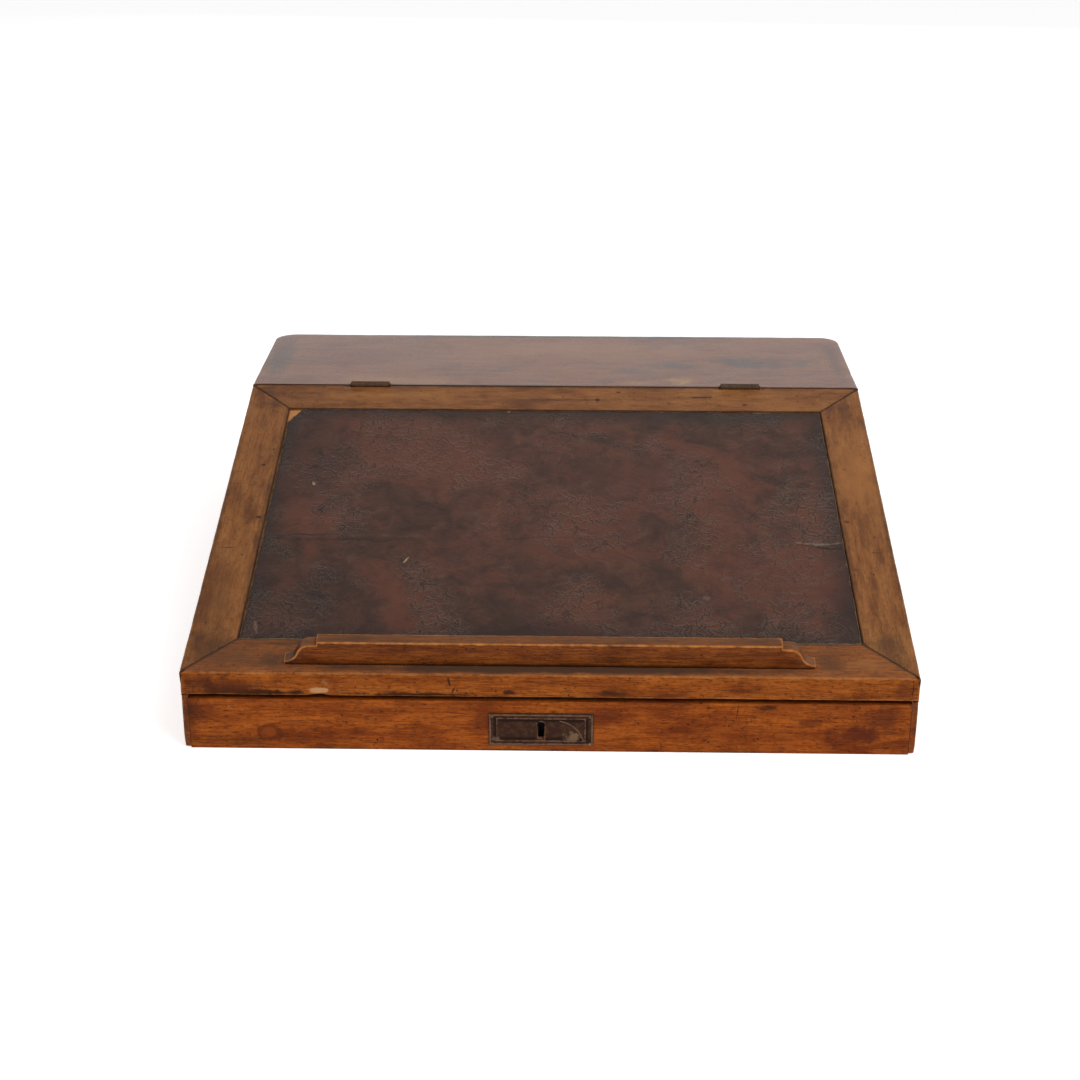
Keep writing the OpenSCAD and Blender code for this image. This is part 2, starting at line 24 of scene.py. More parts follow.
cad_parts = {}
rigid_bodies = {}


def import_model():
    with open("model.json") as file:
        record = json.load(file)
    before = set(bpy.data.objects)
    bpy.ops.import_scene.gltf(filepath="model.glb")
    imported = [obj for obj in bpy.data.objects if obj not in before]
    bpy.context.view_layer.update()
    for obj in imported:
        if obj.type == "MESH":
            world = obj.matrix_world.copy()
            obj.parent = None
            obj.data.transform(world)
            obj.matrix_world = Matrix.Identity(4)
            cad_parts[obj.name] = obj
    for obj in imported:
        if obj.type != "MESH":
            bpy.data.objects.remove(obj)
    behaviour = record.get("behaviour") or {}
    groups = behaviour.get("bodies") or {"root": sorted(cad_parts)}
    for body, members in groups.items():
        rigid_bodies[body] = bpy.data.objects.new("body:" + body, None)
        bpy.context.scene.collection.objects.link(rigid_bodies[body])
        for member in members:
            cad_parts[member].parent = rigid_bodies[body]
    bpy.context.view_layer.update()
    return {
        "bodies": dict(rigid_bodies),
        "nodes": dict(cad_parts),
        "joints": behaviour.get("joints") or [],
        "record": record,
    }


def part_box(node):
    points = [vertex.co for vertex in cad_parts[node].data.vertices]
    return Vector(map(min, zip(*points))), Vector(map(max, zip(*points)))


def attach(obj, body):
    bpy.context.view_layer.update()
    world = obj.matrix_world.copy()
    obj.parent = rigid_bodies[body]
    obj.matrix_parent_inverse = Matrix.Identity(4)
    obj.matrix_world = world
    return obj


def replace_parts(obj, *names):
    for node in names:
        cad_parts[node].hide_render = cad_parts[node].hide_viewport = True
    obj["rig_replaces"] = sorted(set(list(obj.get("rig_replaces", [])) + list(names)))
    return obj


LOG = logging.getLogger("writing_slope")
MM = 0.001
NEAR = 12.0  # how far, in millimetres, a stored nearness to an edge reaches
WELD = 1e-6  # vertices nearer to each other than this, in metres, are one
Colour = tuple[float, float, float]
Triple = tuple[float, float, float]


class Body(Enum):
    """The rigid bodies that pieces ride on."""

    CASE = "case"
    LID = "lid"


class Grain(Enum):
    """Which way the fibres of a board run."""

    ACROSS = "left to right"
    BACK = "front to back"
    UP = "up the lid's slope"


class Raw(Enum):
    """Which faces of a board were never polished."""

    NONE = "none"
    INSIDE = "those that look into the case"
    BELOW = "the lid's underside"


# ------------------------------------------------------------------ where things are


@dataclass(frozen=True)
class Layout:
    """The model's nodes, the lid's slope, and the way between its flat frame and the case's."""

    nodes: Mapping[str, bpy.types.Object]
    hinge_y: float
    top_z: float
    slope: float
    front_y: float

    @classmethod
    def from_frame(cls, frame: Mapping[str, Any]) -> Layout:
        """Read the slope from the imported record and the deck's box.

        Args:
            frame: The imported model.

        Returns:
            The layout.
        """
        surface = next(m for m in frame["record"]["mounts"] if m["name"] == "writing_surface")
        deck_low, deck_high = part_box("deck_board")
        case_low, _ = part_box("left_side")
        slope = math.atan2(-surface["axis"][1], surface["axis"][2])
        return cls(frame["nodes"], deck_low.y, deck_high.z, slope, case_low.y)

    @property
    def from_lid(self) -> Matrix:
        """Matrix from the lid's flat frame to the case's."""
        return Matrix.Translation((0, self.hinge_y, self.top_z)) @ Matrix.Rotation(self.slope, 4, "X")

    @property
    def to_lid(self) -> Matrix:
        """Matrix from the case's frame to the lid's flat one."""
        return self.from_lid.inverted()

    def lid_point(self, x: float, up: float, out: float = 0.0) -> Triple:
        """A point on the lid, in the case's frame.

        Args:
            x: Distance right of the middle, in millimetres.
            up: Distance up the slope from the lid's front edge, in millimetres.
            out: Height above the lid's top face, in millimetres.

        Returns:
            The point, in metres.
        """
        length = (self.hinge_y - self.front_y) / math.cos(self.slope)
        return tuple(self.from_lid @ Vector((x * MM, up * MM - length, out * MM)))


# ------------------------------------------------------------------ shader trees


class Signal:
    """A socket of a shader tree that Python's operators work on."""

    def __init__(self, bench: Bench, socket: bpy.types.NodeSocket) -> None:
        """Wrap one socket of a bench's tree."""
        self.bench = bench
        self.socket = socket

    def _maths(self, operation: str, *values: Any) -> Signal:
        """Add one Math node.

        Args:
            operation: The node's operation.
            *values: Its inputs, as signals or numbers.

        Returns:
            The node's result.
        """
        return self.bench.add("ShaderNodeMath", {"operation": operation}, dict(enumerate(values)))

    def __add__(self, other: Any) -> Signal:
        """self + other."""
        return self._maths("ADD", self, other)

    __radd__ = __add__

    def __sub__(self, other: Any) -> Signal:
        """self - other."""
        return self._maths("SUBTRACT", self, other)

    def __rsub__(self, other: Any) -> Signal:
        """other - self."""
        return self._maths("SUBTRACT", other, self)

    def __mul__(self, other: Any) -> Signal:
        """self * other."""
        return self._maths("MULTIPLY", self, other)

    __rmul__ = __mul__

    def at_most(self, other: Any) -> Signal:
        """The smaller of self and other."""
        return self._maths("MINIMUM", self, other)

    def at_least(self, other: Any) -> Signal:
        """The larger of self and other."""
        return self._maths("MAXIMUM", self, other)

    def step(self, low: float, high: float) -> Signal:
        """A smooth step.

        Args:
            low: Where the result is 0.
            high: Where the result is 1; below low, the step falls.

        Returns:
            The step, from 0 to 1.
        """
        rising = low <= high
        ends = {
            "From Min": min(low, high), "From Max": max(low, high), "To Min": 0.0 if rising else 1.0,
            "To Max": 1.0 if rising else 0.0,
        }
        return self.bench.add(
            "ShaderNodeMapRange", {"interpolation_type": "SMOOTHSTEP"}, {"Value": self, **ends}
        )


class Bench:
    """Builds one tree of nodes."""

    def __init__(self, tree: bpy.types.NodeTree) -> None:
        """Clear a tree and start on it."""
        self.tree = tree
        self.tree.nodes.clear()

    @classmethod
    def for_material(cls, name: str) -> Bench:
        """Start the tree of a new material.

        Args:
            name: The material's name.

        Returns:
            The bench.
        """
        material = bpy.data.materials.new(name)
        material.use_nodes = True
        bench = cls(material.node_tree)
        bench.material = material
        return bench

    def node(
        self, kind: str, settings: Mapping[str, Any] | None = None, sockets: Mapping[Any, Any] | None = None
    ) -> bpy.types.Node:
        """Add a node.

        Args:
            kind: The node's type.
            settings: Its properties, which are set first; stops fills a ramp.
            sockets: Values, signals or lists of signals by input name or number.

        Returns:
            The node.
        """
        node = self.tree.nodes.new(kind)
        for key, value in (settings or {}).items():
            if key == "stops":
                while len(node.color_ramp.elements) < len(value):
                    node.color_ramp.elements.new(0.5)
                for element, (place, colour) in zip(node.color_ramp.elements, value):
                    element.position, element.color = place, (*colour, 1.0)
            else:
                setattr(node, key, value)
        for key, value in (sockets or {}).items():
            target = node.inputs[key]
            if isinstance(value, Signal | list):
                for signal in value if isinstance(value, list) else [value]:
                    self.tree.links.new(signal.socket, target)
            elif isinstance(value, tuple) and len(value) == 3 and target.type == "RGBA":
                target.default_value = (*value, 1.0)
            else:
                target.default_value = value
        return node

    def add(
        self, kind: str, settings: Mapping[str, Any] | None = None, sockets: Mapping[Any, Any] | None = None,
        out: Any = 0,
    ) -> Signal:
        """Add a node for one of its outputs.

        Args:
            kind: The node's type.
            settings: Its properties.
            sockets: What its inputs take.
            out: The output to return, by name or number.

        Returns:
            The output asked for.
        """
        return Signal(self, self.node(kind, settings, sockets).outputs[out])

    def place(self) -> Signal:
        """The point on the object, in metres."""
        return self.add("ShaderNodeTexCoord", out="Object")

    def facing(self) -> Signal:
        """The surface's normal on the object."""
        return self.add("ShaderNodeTexCoord", out="Normal")

    def attribute(self, name: str) -> Signal:
        """A number stored on the mesh."""
        return self.add("ShaderNodeAttribute", {"attribute_name": name}, out="Fac")

    def nearness(self, name: str, reach: float) -> Signal:
        """How near the surface is to an edge, from 1 on it to 0 at a distance.

        Args:
            name: The attribute that holds it.
            reach: The distance, in millimetres.

        Returns:
            The nearness.
        """
        return (1.0 - (1.0 - self.attribute(name)) * (NEAR / reach)).at_least(0.0)

    def split(self, vector: Signal) -> tuple[Signal, Signal, Signal]:
        """The three parts of a vector."""
        first = self.add("ShaderNodeSeparateXYZ", sockets={0: vector})
        return first, Signal(self, first.socket.node.outputs[1]), Signal(self, first.socket.node.outputs[2])

    def scaled(self, vector: Signal, by: Triple) -> Signal:
        """A vector times three numbers."""
        return self.add("ShaderNodeVectorMath", {"operation": "MULTIPLY"}, {0: vector, 1: by})

    def moved(self, vector: Signal, by: Signal) -> Signal:
        """The sum of two vectors."""
        return self.add("ShaderNodeVectorMath", {"operation": "ADD"}, {0: vector, 1: by})

    def turned(self, vector: Signal, by: Triple) -> Signal:
        """A vector turned by three angles."""
        return self.add("ShaderNodeMapping", {"vector_type": "POINT"}, {"Vector": vector, "Rotation": by})

    def noise(
        self, vector: Signal, scale: float = 1.0, detail: float = 3.0, roughness: float = 0.5,
        twist: float = 0.0,
    ) -> Signal:
        """Cloudy noise round 0.5.

        Args:
            vector: Where to sample.
            scale: Features per unit of the vector.
            detail: Octaves.
            roughness: How strong the finer octaves are.
            twist: Distortion.

        Returns:
            The noise.
        """
        values = {
            "Vector": vector, "Scale": scale, "Detail": detail, "Roughness": roughness, "Distortion": twist
        }
        return self.add("ShaderNodeTexNoise", sockets=values)

    def drift(self, vector: Signal, scale: float, amount: float) -> Signal:
        """A vector pushed about by noise.

        Args:
            vector: The vector.
            scale: Features per unit of it.
            amount: The largest push.

        Returns:
            The pushed vector.
        """
        push = self.add(
            "ShaderNodeTexNoise", sockets={"Vector": vector, "Scale": scale, "Detail": 2.0}, out="Color"
        )
        centred = self.add("ShaderNodeVectorMath", {"operation": "SUBTRACT"}, {0: push, 1: (0.5, 0.5, 0.5)})
        return self.moved(vector, self.scaled(centred, (amount * 2,) * 3))

    def cells(self, vector: Signal, scale: float, feature: str = "F1", randomness: float = 1.0) -> tuple[
        Signal, Signal
    ]:
        """Voronoi cells.

        Args:
            vector: Where to sample.
            scale: Cells per unit of the vector.
            feature: F1 for the distance to a cell's point, DISTANCE_TO_EDGE for that to its wall.
            randomness: How uneven the cells are.

        Returns:
            The distance, and a random number for each cell.
        """
        values = {"Vector": vector, "Scale": scale, "Randomness": randomness}
        distance = self.add("ShaderNodeTexVoronoi", {"feature": feature}, values)
        if feature == "DISTANCE_TO_EDGE":
            return distance, distance
        colour = Signal(self, distance.socket.node.outputs["Color"])
        return distance, self.split(colour)[0]

    def lowered(self, kind: str, sizes: Mapping[str, Any], by: Signal) -> Signal:
        """Add a mesh shape and move it down.

        Args:
            kind: The shape's node type.
            sizes: Its inputs.
            by: How far down it goes.

        Returns:
            The moved mesh.
        """
        down = self.add("ShaderNodeCombineXYZ", sockets={"Z": by * -1.0})
        return self.add(
            "GeometryNodeTransform", sockets={"Geometry": self.add(kind, sockets=sizes), "Translation": down}
        )

    def paint(self, under: Any, over: Any, factor: Any, mode: str = "MIX") -> Signal:
        """One colour laid on another.

        Args:
            under: The colour below.
            over: The colour on top.
            factor: How much of it shows.
            mode: The blend mode.

        Returns:
            The mixed colour.
        """
        settings = {"data_type": "RGBA", "blend_type": mode, "clamp_factor": True}
        return self.add("ShaderNodeMix", settings, {0: factor, 6: under, 7: over}, out=2)

    def bump(self, height: Signal, depth: float, strength: float = 1.0) -> Signal:
        """A normal from a height between 0 and 1.

        Args:
            height: The height.
            depth: What 1 stands for, in metres.
            strength: The bump's strength.

        Returns:
            The normal.
        """
        return self.add("ShaderNodeBump", sockets={"Strength": strength, "Distance": depth, "Height": height})

    def finish(self, **sockets: Any) -> bpy.types.Material:
        """End the tree with a Principled shader.

        Args:
            **sockets: Its inputs, with _ for the blank in a name.

        Returns:
            The material.
        """
        shader = self.add(
            "ShaderNodeBsdfPrincipled", sockets={k.replace("_", " "): v for k, v in sockets.items()}
        )
        self.node("ShaderNodeOutputMaterial", sockets={"Surface": shader})
        return self.material


@dataclass(frozen=True)
class Mark:
    """A stain, scratch or bare patch of roughly oval shape.

    at, size and bend are in millimetres, turn in degrees; ragged is how far the edge wanders, as a
    share of the mark's size, soft is how gradual it is, and bend how crooked the whole mark is.
    """

    at: Triple
    size: Triple
    colour: Colour
    strength: float = 0.8
    turn: Triple = (0.0, 0.0, 0.0)
    soft: float = 0.5
    ragged: float = 0.5
    grit: float = 120.0
    bend: float = 0.0

    def lay(self, bench: Bench, place: Signal, under: Signal) -> Signal:
        """Paint the mark.

        Args:
            bench: The material's bench.
            place: The point on the object.
            under: The colour so far.

        Returns:
            The colour with the mark on it.
        """
        return bench.paint(under, self.colour, self.cover(bench, place))

    def cover(self, bench: Bench, place: Signal) -> Signal:
        """How much of the mark shows, from 0 to its strength.

        Args:
            bench: The material's bench.
            place: The point on the object.

        Returns:
            The mark's share of the colour.
        """
        values = {
            "Vector": bench.drift(place, 45.0, self.bend * MM) if self.bend else place,
            "Location": tuple(v * MM for v in self.at),
            "Rotation": tuple(math.radians(v) for v in self.turn),
            "Scale": tuple(v * MM for v in self.size),
        }
        local = bench.add("ShaderNodeMapping", {"vector_type": "TEXTURE"}, values)
        length = bench.add("ShaderNodeVectorMath", {"operation": "LENGTH"}, {0: local}, out="Value")
        wander = (bench.noise(place, self.grit, 4.0, 0.6) - 0.5) * (2 * self.ragged)
        return (length + wander).step(1.0, 1.0 - self.soft) * self.strength


# ------------------------------------------------------------------ finishes


@dataclass(frozen=True)
class WoodFinish:
    """Old waxed or polished hardwood, with its grain, dents, dirt and rubbed edges, a painted highlight on
    those edges and a painted sheen on its upward faces.
    """

    name: str
    grain: Grain
    dark: Colour
    mid: Colour
    light: Colour
    rubbed: Colour
    dirt: Colour = (0.018, 0.007, 0.003)
    gloss: float = 0.42
    shine: float = 0.3
    contrast: float = 1.0
    clouding: float = 0.6
    dings: float = 0.6
    grime: float = 0.75
    rub: float = 0.6
    relief: float = 0.7
    seam_dirt: float = 2.2
    # Strength and colour of the painted sheen on faces that look up.
    top_sheen: float = 0.0
    top_sheen_colour: Colour = (0.45, 0.30, 0.19)
    raw: Raw = Raw.NONE
    bare: Colour = (0.33, 0.17, 0.07)
    marks: tuple[Mark, ...] = ()

    def material(self, layout: Layout) -> bpy.types.Material:
        """Build the material.

        Args:
            layout: Where the lid lies.

        Returns:
            The material.
        """
        bench = Bench.for_material(self.name)
        place = bench.place()
        along = self._fibres(bench, place, layout)
        broad = bench.noise(
            bench.scaled(bench.drift(along, 9.0, 0.004), (9.0, 38.0, 38.0)), 1.0, 4.0, 0.6, 0.5
        )
        figure = bench.noise(
            bench.scaled(bench.drift(along, 40.0, 0.0015), (34.0, 150.0, 150.0)), 1.0, 5.0, 0.65
        )
        fibre = bench.noise(bench.scaled(along, (60.0, 950.0, 950.0)), 1.0, 3.0, 0.65)
        dashes = bench.noise(bench.scaled(along, (230.0, 1900.0, 1900.0)), 1.0, 2.0)
        cloud = bench.noise(place, 30.0, 6.0, 0.68, 0.4)
        flecks = bench.noise(place, 420.0, 4.0, 0.7)
        colour = bench.paint(self.dark, self.mid, (broad * 0.45 + figure * 0.55).step(0.34, 0.52))
        colour = bench.paint(
            colour, self.light, (figure * 0.4 + broad * 0.3 + flecks * 0.3).step(0.47, 0.62) * 0.75
        )
        colour = bench.paint(colour, self.dark, fibre.step(0.46, 0.62) * (0.60 * self.contrast))
        colour = bench.paint(colour, self.dirt, dashes.step(0.54, 0.66) * (0.60 * self.contrast))
        colour = bench.paint(colour, self.dark, cloud.step(0.52, 0.68) * self.clouding)
        colour = bench.paint(
            colour, self.dirt, flecks.step(0.55, 0.68) * cloud.step(0.42, 0.60) * (0.9 * self.dings)
        )
        colour = bench.paint(colour, self.dirt, self._dings(bench, place) * self.dings)
        for mark in self.marks:
            colour = mark.lay(bench, place, colour)
        dirty = bench.nearness("grime", self.seam_dirt)
        broken = bench.noise(place, 160.0, 4.0, 0.65)
        grime = (dirty * 1.25 + broken - 0.75).step(0.0, 0.75) * self.grime
        colour = bench.paint(colour, self.dirt, grime)
        # Open arrises turn a lighter colour: worn-through polish, and a painted highlight along the edge.
        worn = bench.nearness("wear", 3.0)
        rubbed = (worn * 1.1 + broken * 0.9 - 1.05).step(0.0, 0.45) * self.rub
        colour = bench.paint(colour, self.rubbed, rubbed)
        # Painted sheen: faces that look up are lightened towards a pale grey-tan, as if catching light from
        # above.
        up = bench.split(bench.facing())[2].step(0.5, 0.9)
        colour = bench.paint(colour, self.top_sheen_colour, up * self.top_sheen)
        rough = (self.gloss + fibre * 0.10 - 0.05 + grime * 0.25 + (cloud - 0.5) * 0.18).at_most(0.95)
        height = 0.6 + fibre * 0.25 - dashes.step(0.56, 0.70) * 0.35 - self._dings(bench, place) * 0.5 + (
            flecks - 0.5
        ) * 0.25
        if self.raw is not Raw.NONE:
            bare = self._raw(bench, place, layout)
            plain = bench.paint(self.bare, tuple(c * 0.55 for c in self.bare), figure.step(0.35, 0.7))
            plain = bench.paint(plain, tuple(c * 0.45 for c in self.bare), fibre.step(0.5, 0.7) * 0.5)
            plain = bench.paint(plain, self.dirt, (grime * 0.7 + flecks.step(0.6, 0.75) * 0.3).at_most(0.8))
            colour = bench.paint(colour, plain, bare)
            rough = (rough + bare * 0.35).at_most(0.9)
        return bench.finish(
            Base_Color=colour, Roughness=rough, Specular_IOR_Level=self.shine,
            Normal=bench.bump(height, 0.00022, self.relief),
        )

    def _fibres(self, bench: Bench, place: Signal, layout: Layout) -> Signal:
        """The point with its first part along the fibres.

        Args:
            bench: The material's bench.
            place: The point on the object.
            layout: Where the lid lies.

        Returns:
            The turned point.
        """
        if self.grain is Grain.BACK:
            return bench.turned(place, (0.0, 0.0, math.pi / 2))
        if self.grain is Grain.UP:
            return bench.turned(bench.turned(place, (-layout.slope, 0.0, 0.0)), (0.0, 0.0, math.pi / 2))
        return place

    def _dings(self, bench: Bench, place: Signal) -> Signal:
        """Small dents and worm holes that hold dirt, from 0 to 1.

        Args:
            bench: The material's bench.
            place: The point on the object.

        Returns:
            How much of a dent is here.
        """
        wander = bench.drift(place, 300.0, 0.0012)
        big, chosen = bench.cells(wander, 62.0)
        small, picked = bench.cells(wander, 170.0)
        return (
            big.step(0.095, 0.045) * chosen.step(0.60, 0.62)
            + small.step(0.15, 0.07) * picked.step(0.70, 0.72)
        ).at_most(1.0)

    def _raw(self, bench: Bench, place: Signal, layout: Layout) -> Signal:
        """1 on faces that were never polished, 0 on the rest.

        Args:
            bench: The material's bench.
            place: The point on the object.
            layout: Where the lid lies.

        Returns:
            The share of bare wood.
        """
        if self.raw is Raw.BELOW:
            down = (0.0, math.sin(layout.slope), -math.cos(layout.slope))
            return bench.add(
                "ShaderNodeVectorMath", {"operation": "DOT_PRODUCT"}, {0: bench.facing(), 1: down},
                out="Value",
            ).step(0.6, 0.8)
        inward = bench.add(
            "ShaderNodeVectorMath", {"operation": "NORMALIZE"}, {0: bench.scaled(place, (-1.0, -1.0, 0.0))}
        )
        facing = bench.add(
            "ShaderNodeVectorMath", {"operation": "DOT_PRODUCT"}, {0: bench.facing(), 1: inward}, out="Value"
        )
        return facing.step(0.2, 0.4)


@dataclass(frozen=True)
class LeatherFinish:
    """Crazed dark hide with rubbed red patches, cracks darkened with dirt and painted shade, and a painted
    sheen on its ridges and in pale patches.
    """

    name: str
    black: Colour = (0.025, 0.012, 0.009)
    brown: Colour = (0.066, 0.024, 0.013)
    red: Colour = (0.128, 0.038, 0.019)
    # Pale grey-tan of the painted sheen.
    pale_sheen: Colour = (0.125, 0.080, 0.045)
    marks: tuple[Mark, ...] = ()

    def material(self, layout: Layout) -> bpy.types.Material:
        """Build the material.

        Args:
            layout: Where the lid lies.

        Returns:
            The material.
        """
        bench = Bench.for_material(self.name)
        place = bench.place()
        flat = bench.scaled(bench.turned(place, (-layout.slope, 0.0, 0.0)), (1.0, 1.0, 0.0))
        wash = bench.noise(flat, 15.0, 5.0, 0.62, 0.6)
        mottle = bench.noise(flat, 70.0, 6.0, 0.70, 0.6)
        grain = bench.noise(flat, 900.0, 3.0, 0.6)
        coarse, _ = bench.cells(
            bench.drift(bench.drift(flat, 60.0, 0.006), 220.0, 0.0018), 150.0, "DISTANCE_TO_EDGE"
        )
        fine, _ = bench.cells(bench.drift(flat, 260.0, 0.0016), 400.0, "DISTANCE_TO_EDGE")
        crazed = bench.noise(flat, 17.0, 4.0, 0.6, 0.5).step(0.44, 0.60)
        veins = coarse.step(0.075, 0.0) * (crazed * 0.9 + 0.08)
        hair = fine.step(0.11, 0.0) * (0.2 + crazed * 0.5)
        lines = bench.scaled(bench.turned(flat, (0.0, 0.0, 0.5)), (60.0, 380.0, 0.0))
        creases = bench.noise(lines, 1.0, 3.0, 0.6, 0.8).step(0.55, 0.68)
        colour = bench.paint(self.brown, self.red, (wash * 0.8 + mottle * 0.35).step(0.48, 0.70))
        colour = bench.paint(colour, self.black, (mottle * 0.6 + wash * 0.4).step(0.50, 0.36) * 0.5)
        # Black in the cracks and creases: dirt, and painted shade in the hollows.
        colour = bench.paint(colour, self.black, (veins * 0.6 + hair * 0.25 + creases * 0.25).at_most(0.8))
        # Pale patches of painted sheen.
        colour = bench.paint(colour, self.pale_sheen, mottle.step(0.52, 0.70) * wash.step(0.56, 0.44) * 0.25)
        edge = bench.attribute("grime")
        colour = bench.paint(colour, self.black, (edge * 0.9 + mottle * 0.6 - 0.45).step(0.05, 0.8) * 0.85)
        # Painted highlight on the raised ridges between the cracks.
        rise = coarse.step(0.20, 0.06) * (crazed * 0.9 + 0.1)
        colour = bench.paint(
            colour, self.pale_sheen, (rise - veins * 2.0).at_least(0.0) * grain.step(0.42, 0.60) * 0.85
        )
        for mark in self.marks:
            colour = mark.lay(bench, place, colour)
        worn = bench.attribute("wear")
        colour = bench.paint(colour, (0.32, 0.20, 0.10), (worn + mottle - 1.0).step(0.25, 0.5) * 0.7)
        rough = (0.50 - (mottle - 0.5) * 0.5 + veins * 0.15 - crazed * 0.06).at_least(0.3).at_most(0.85)
        height = 0.5 + rise * 0.5 - veins * 0.6 - hair * 0.15 + (
            mottle - 0.5
        ) * 0.35 + (grain - 0.5) * 0.12 - creases * 0.12
        return bench.finish(
            Base_Color=colour, Roughness=rough, Specular_IOR_Level=0.4,
            Normal=bench.bump(height, 0.0005, 0.85),
        )


@dataclass(frozen=True)
class MetalFinish:
    """Old metal under a patchy patina, bright where it is rubbed."""

    name: str
    metal: Colour
    patina: Colour
    stain: Colour
    cover: float = 0.6
    gloss: float = 0.38
    shine: float = 0.5
    grit: float = 350.0
    rub: float = 0.45
    marks: tuple[Mark, ...] = ()

    def material(self, layout: Layout) -> bpy.types.Material:
        """Build the material.

        Args:
            layout: Not used.

        Returns:
            The material.
        """
        bench = Bench.for_material(self.name)
        place = bench.place()
        patches = bench.noise(place, self.grit, 5.0, 0.65)
        fine = bench.noise(place, self.grit * 7.0, 3.0, 0.6)
        edge = 0.5 - self.cover * 0.35
        covered = (patches - bench.attribute("wear") * self.rub).step(edge - 0.06, edge + 0.10)
        stained = bench.noise(place, self.grit * 0.8, 4.0, 0.7)
        colour = bench.paint(self.patina, self.stain, stained.step(0.42, 0.62))
        colour = bench.paint(self.metal, colour, covered)
        colour = bench.paint(
            colour, tuple(c * 0.35 for c in self.patina),
            (bench.attribute("grime") + fine * 0.4 - 0.3).step(0.1, 0.7) * 0.9,
        )
        colour = bench.paint(colour, tuple(c * 0.6 for c in self.patina), fine.step(0.52, 0.70) * 0.4)
        hide = covered
        for mark in self.marks:
            hide = hide.at_least(mark.cover(bench, place))
            colour = mark.lay(bench, place, colour)
        rough = (self.gloss + hide * 0.22 + fine * 0.12).at_most(0.9)
        height = 0.5 + (patches - 0.5) * 0.5 + (fine - 0.5) * 0.3
        normal = bench.bump(height, 0.00012, 0.6)
        return bench.finish(
            Base_Color=colour, Roughness=rough, Metallic=1.0 - hide * 0.85, Specular_IOR_Level=self.shine,
            Normal=normal,
        )


# ------------------------------------------------------------------ mesh helpers


class Daylight:
    """Tells which faces of a piece are open, by looking out from them to the other pieces."""

    def __init__(self, nodes: Mapping[str, bpy.types.Object], reach: float = 1.2 * MM) -> None:
        """Gather every node's faces.

        Args:
            nodes: The model's nodes.
            reach: How near another piece has to be to cover a face.
        """
        self.reach = reach
        self.trees = {}
        for name, obj in nodes.items():
            points = [v.co.copy() for v in obj.data.vertices]
            faces = [tuple(p.vertices) for p in obj.data.polygons]
            low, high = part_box(name)
            self.trees[name] = (BVHTree.FromPolygons(points, faces), low, high)

    def open_face(self, own: str, face: bmesh.types.BMFace) -> bool:
        """Whether most of a face sees nothing within reach.

        Args:
            own: The piece's own node, which is not looked at.
            face: The face.

        Returns:
            True if it is open.
        """
        centre = face.calc_center_median()
        spots = [centre.lerp(v.co, 0.6) for v in face.verts]
        spots += [centre.lerp((e.verts[0].co + e.verts[1].co) / 2, 0.8) for e in face.edges]
        covered = 0
        for spot in spots:
            start = spot - face.normal * (0.05 * MM)
            for name, (tree, low, high) in self.trees.items():
                if name == own or any(
                    start[i] < low[i] - 2 * MM or start[i] > high[i] + 2 * MM for i in range(3)
                ):
                    continue
                if tree.ray_cast(start, face.normal, self.reach)[0] is not None:
                    covered += 1
                    break
        return covered * 2 < len(spots)


def new_piece(name: str, mesh: bpy.types.Mesh) -> bpy.types.Object:
    """Put a mesh in the scene as an object at the origin.

    Args:
        name: The object's name.
        mesh: Its mesh.

    Returns:
        The object.
    """
    piece = bpy.data.objects.new(name, mesh)
    bpy.context.scene.collection.objects.link(piece)
    return piece


def settle(piece: bpy.types.Object) -> bpy.types.Object:
    """Turn an object's modifiers into plain mesh.

    Args:
        piece: The object, with its modifiers.

    Returns:
        The same object, with the evaluated mesh and no modifiers.
    """
    evaluated = piece.evaluated_get(bpy.context.evaluated_depsgraph_get())
    mesh = bpy.data.meshes.new_from_object(evaluated)
    piece.modifiers.clear()
    old, piece.data = piece.data, mesh
    bpy.data.meshes.remove(old)
    return piece


def cut_planes(bm: bmesh.types.BMesh, axis: int, places: Iterable[float]) -> None:
    """Cut a mesh's faces along planes across one axis.

    Args:
        bm: The mesh.
        axis: 0, 1 or 2.
        places: Where the planes stand on that axis.
    """
    normal = Vector([1.0 if i == axis else 0.0 for i in range(3)])
    for place in places:
        everything = bm.verts[:] + bm.edges[:] + bm.faces[:]
        bmesh.ops.bisect_plane(bm, geom=everything, dist=WELD, plane_co=normal * place, plane_no=normal)


def segment_distance(points: np.ndarray, segments: Sequence[tuple[Vector, Vector]]) -> np.ndarray:
    """Each point's distance to the nearest of some line segments.

    Args:
        points: The points, one a row.
        segments: The segments' ends.

    Returns:
        The distances; far away if there are no segments.
    """
    nearest = np.full(len(points), 1.0)
    for first, second in segments:
        a, d = np.array(first), np.array(second - first)
        share = np.clip((points - a) @ d / max(float(d @ d), 1e-12), 0.0, 1.0)
        nearest = np.minimum(nearest, np.linalg.norm(points - (a + share[:, None] * d), axis=1))
    return nearest


def store(mesh: bpy.types.Mesh, name: str, values: Iterable[float]) -> None:
    """Store one number for each vertex under a name."""
    layer = mesh.attributes.new(name, "FLOAT", "POINT")
    layer.data.foreach_set("value", np.asarray(list(values), np.float32))


@dataclass(frozen=True)
class Dent:
    """A knock on an edge: a round hollow, in millimetres."""

    at: Triple
    radius: float
    depth: float


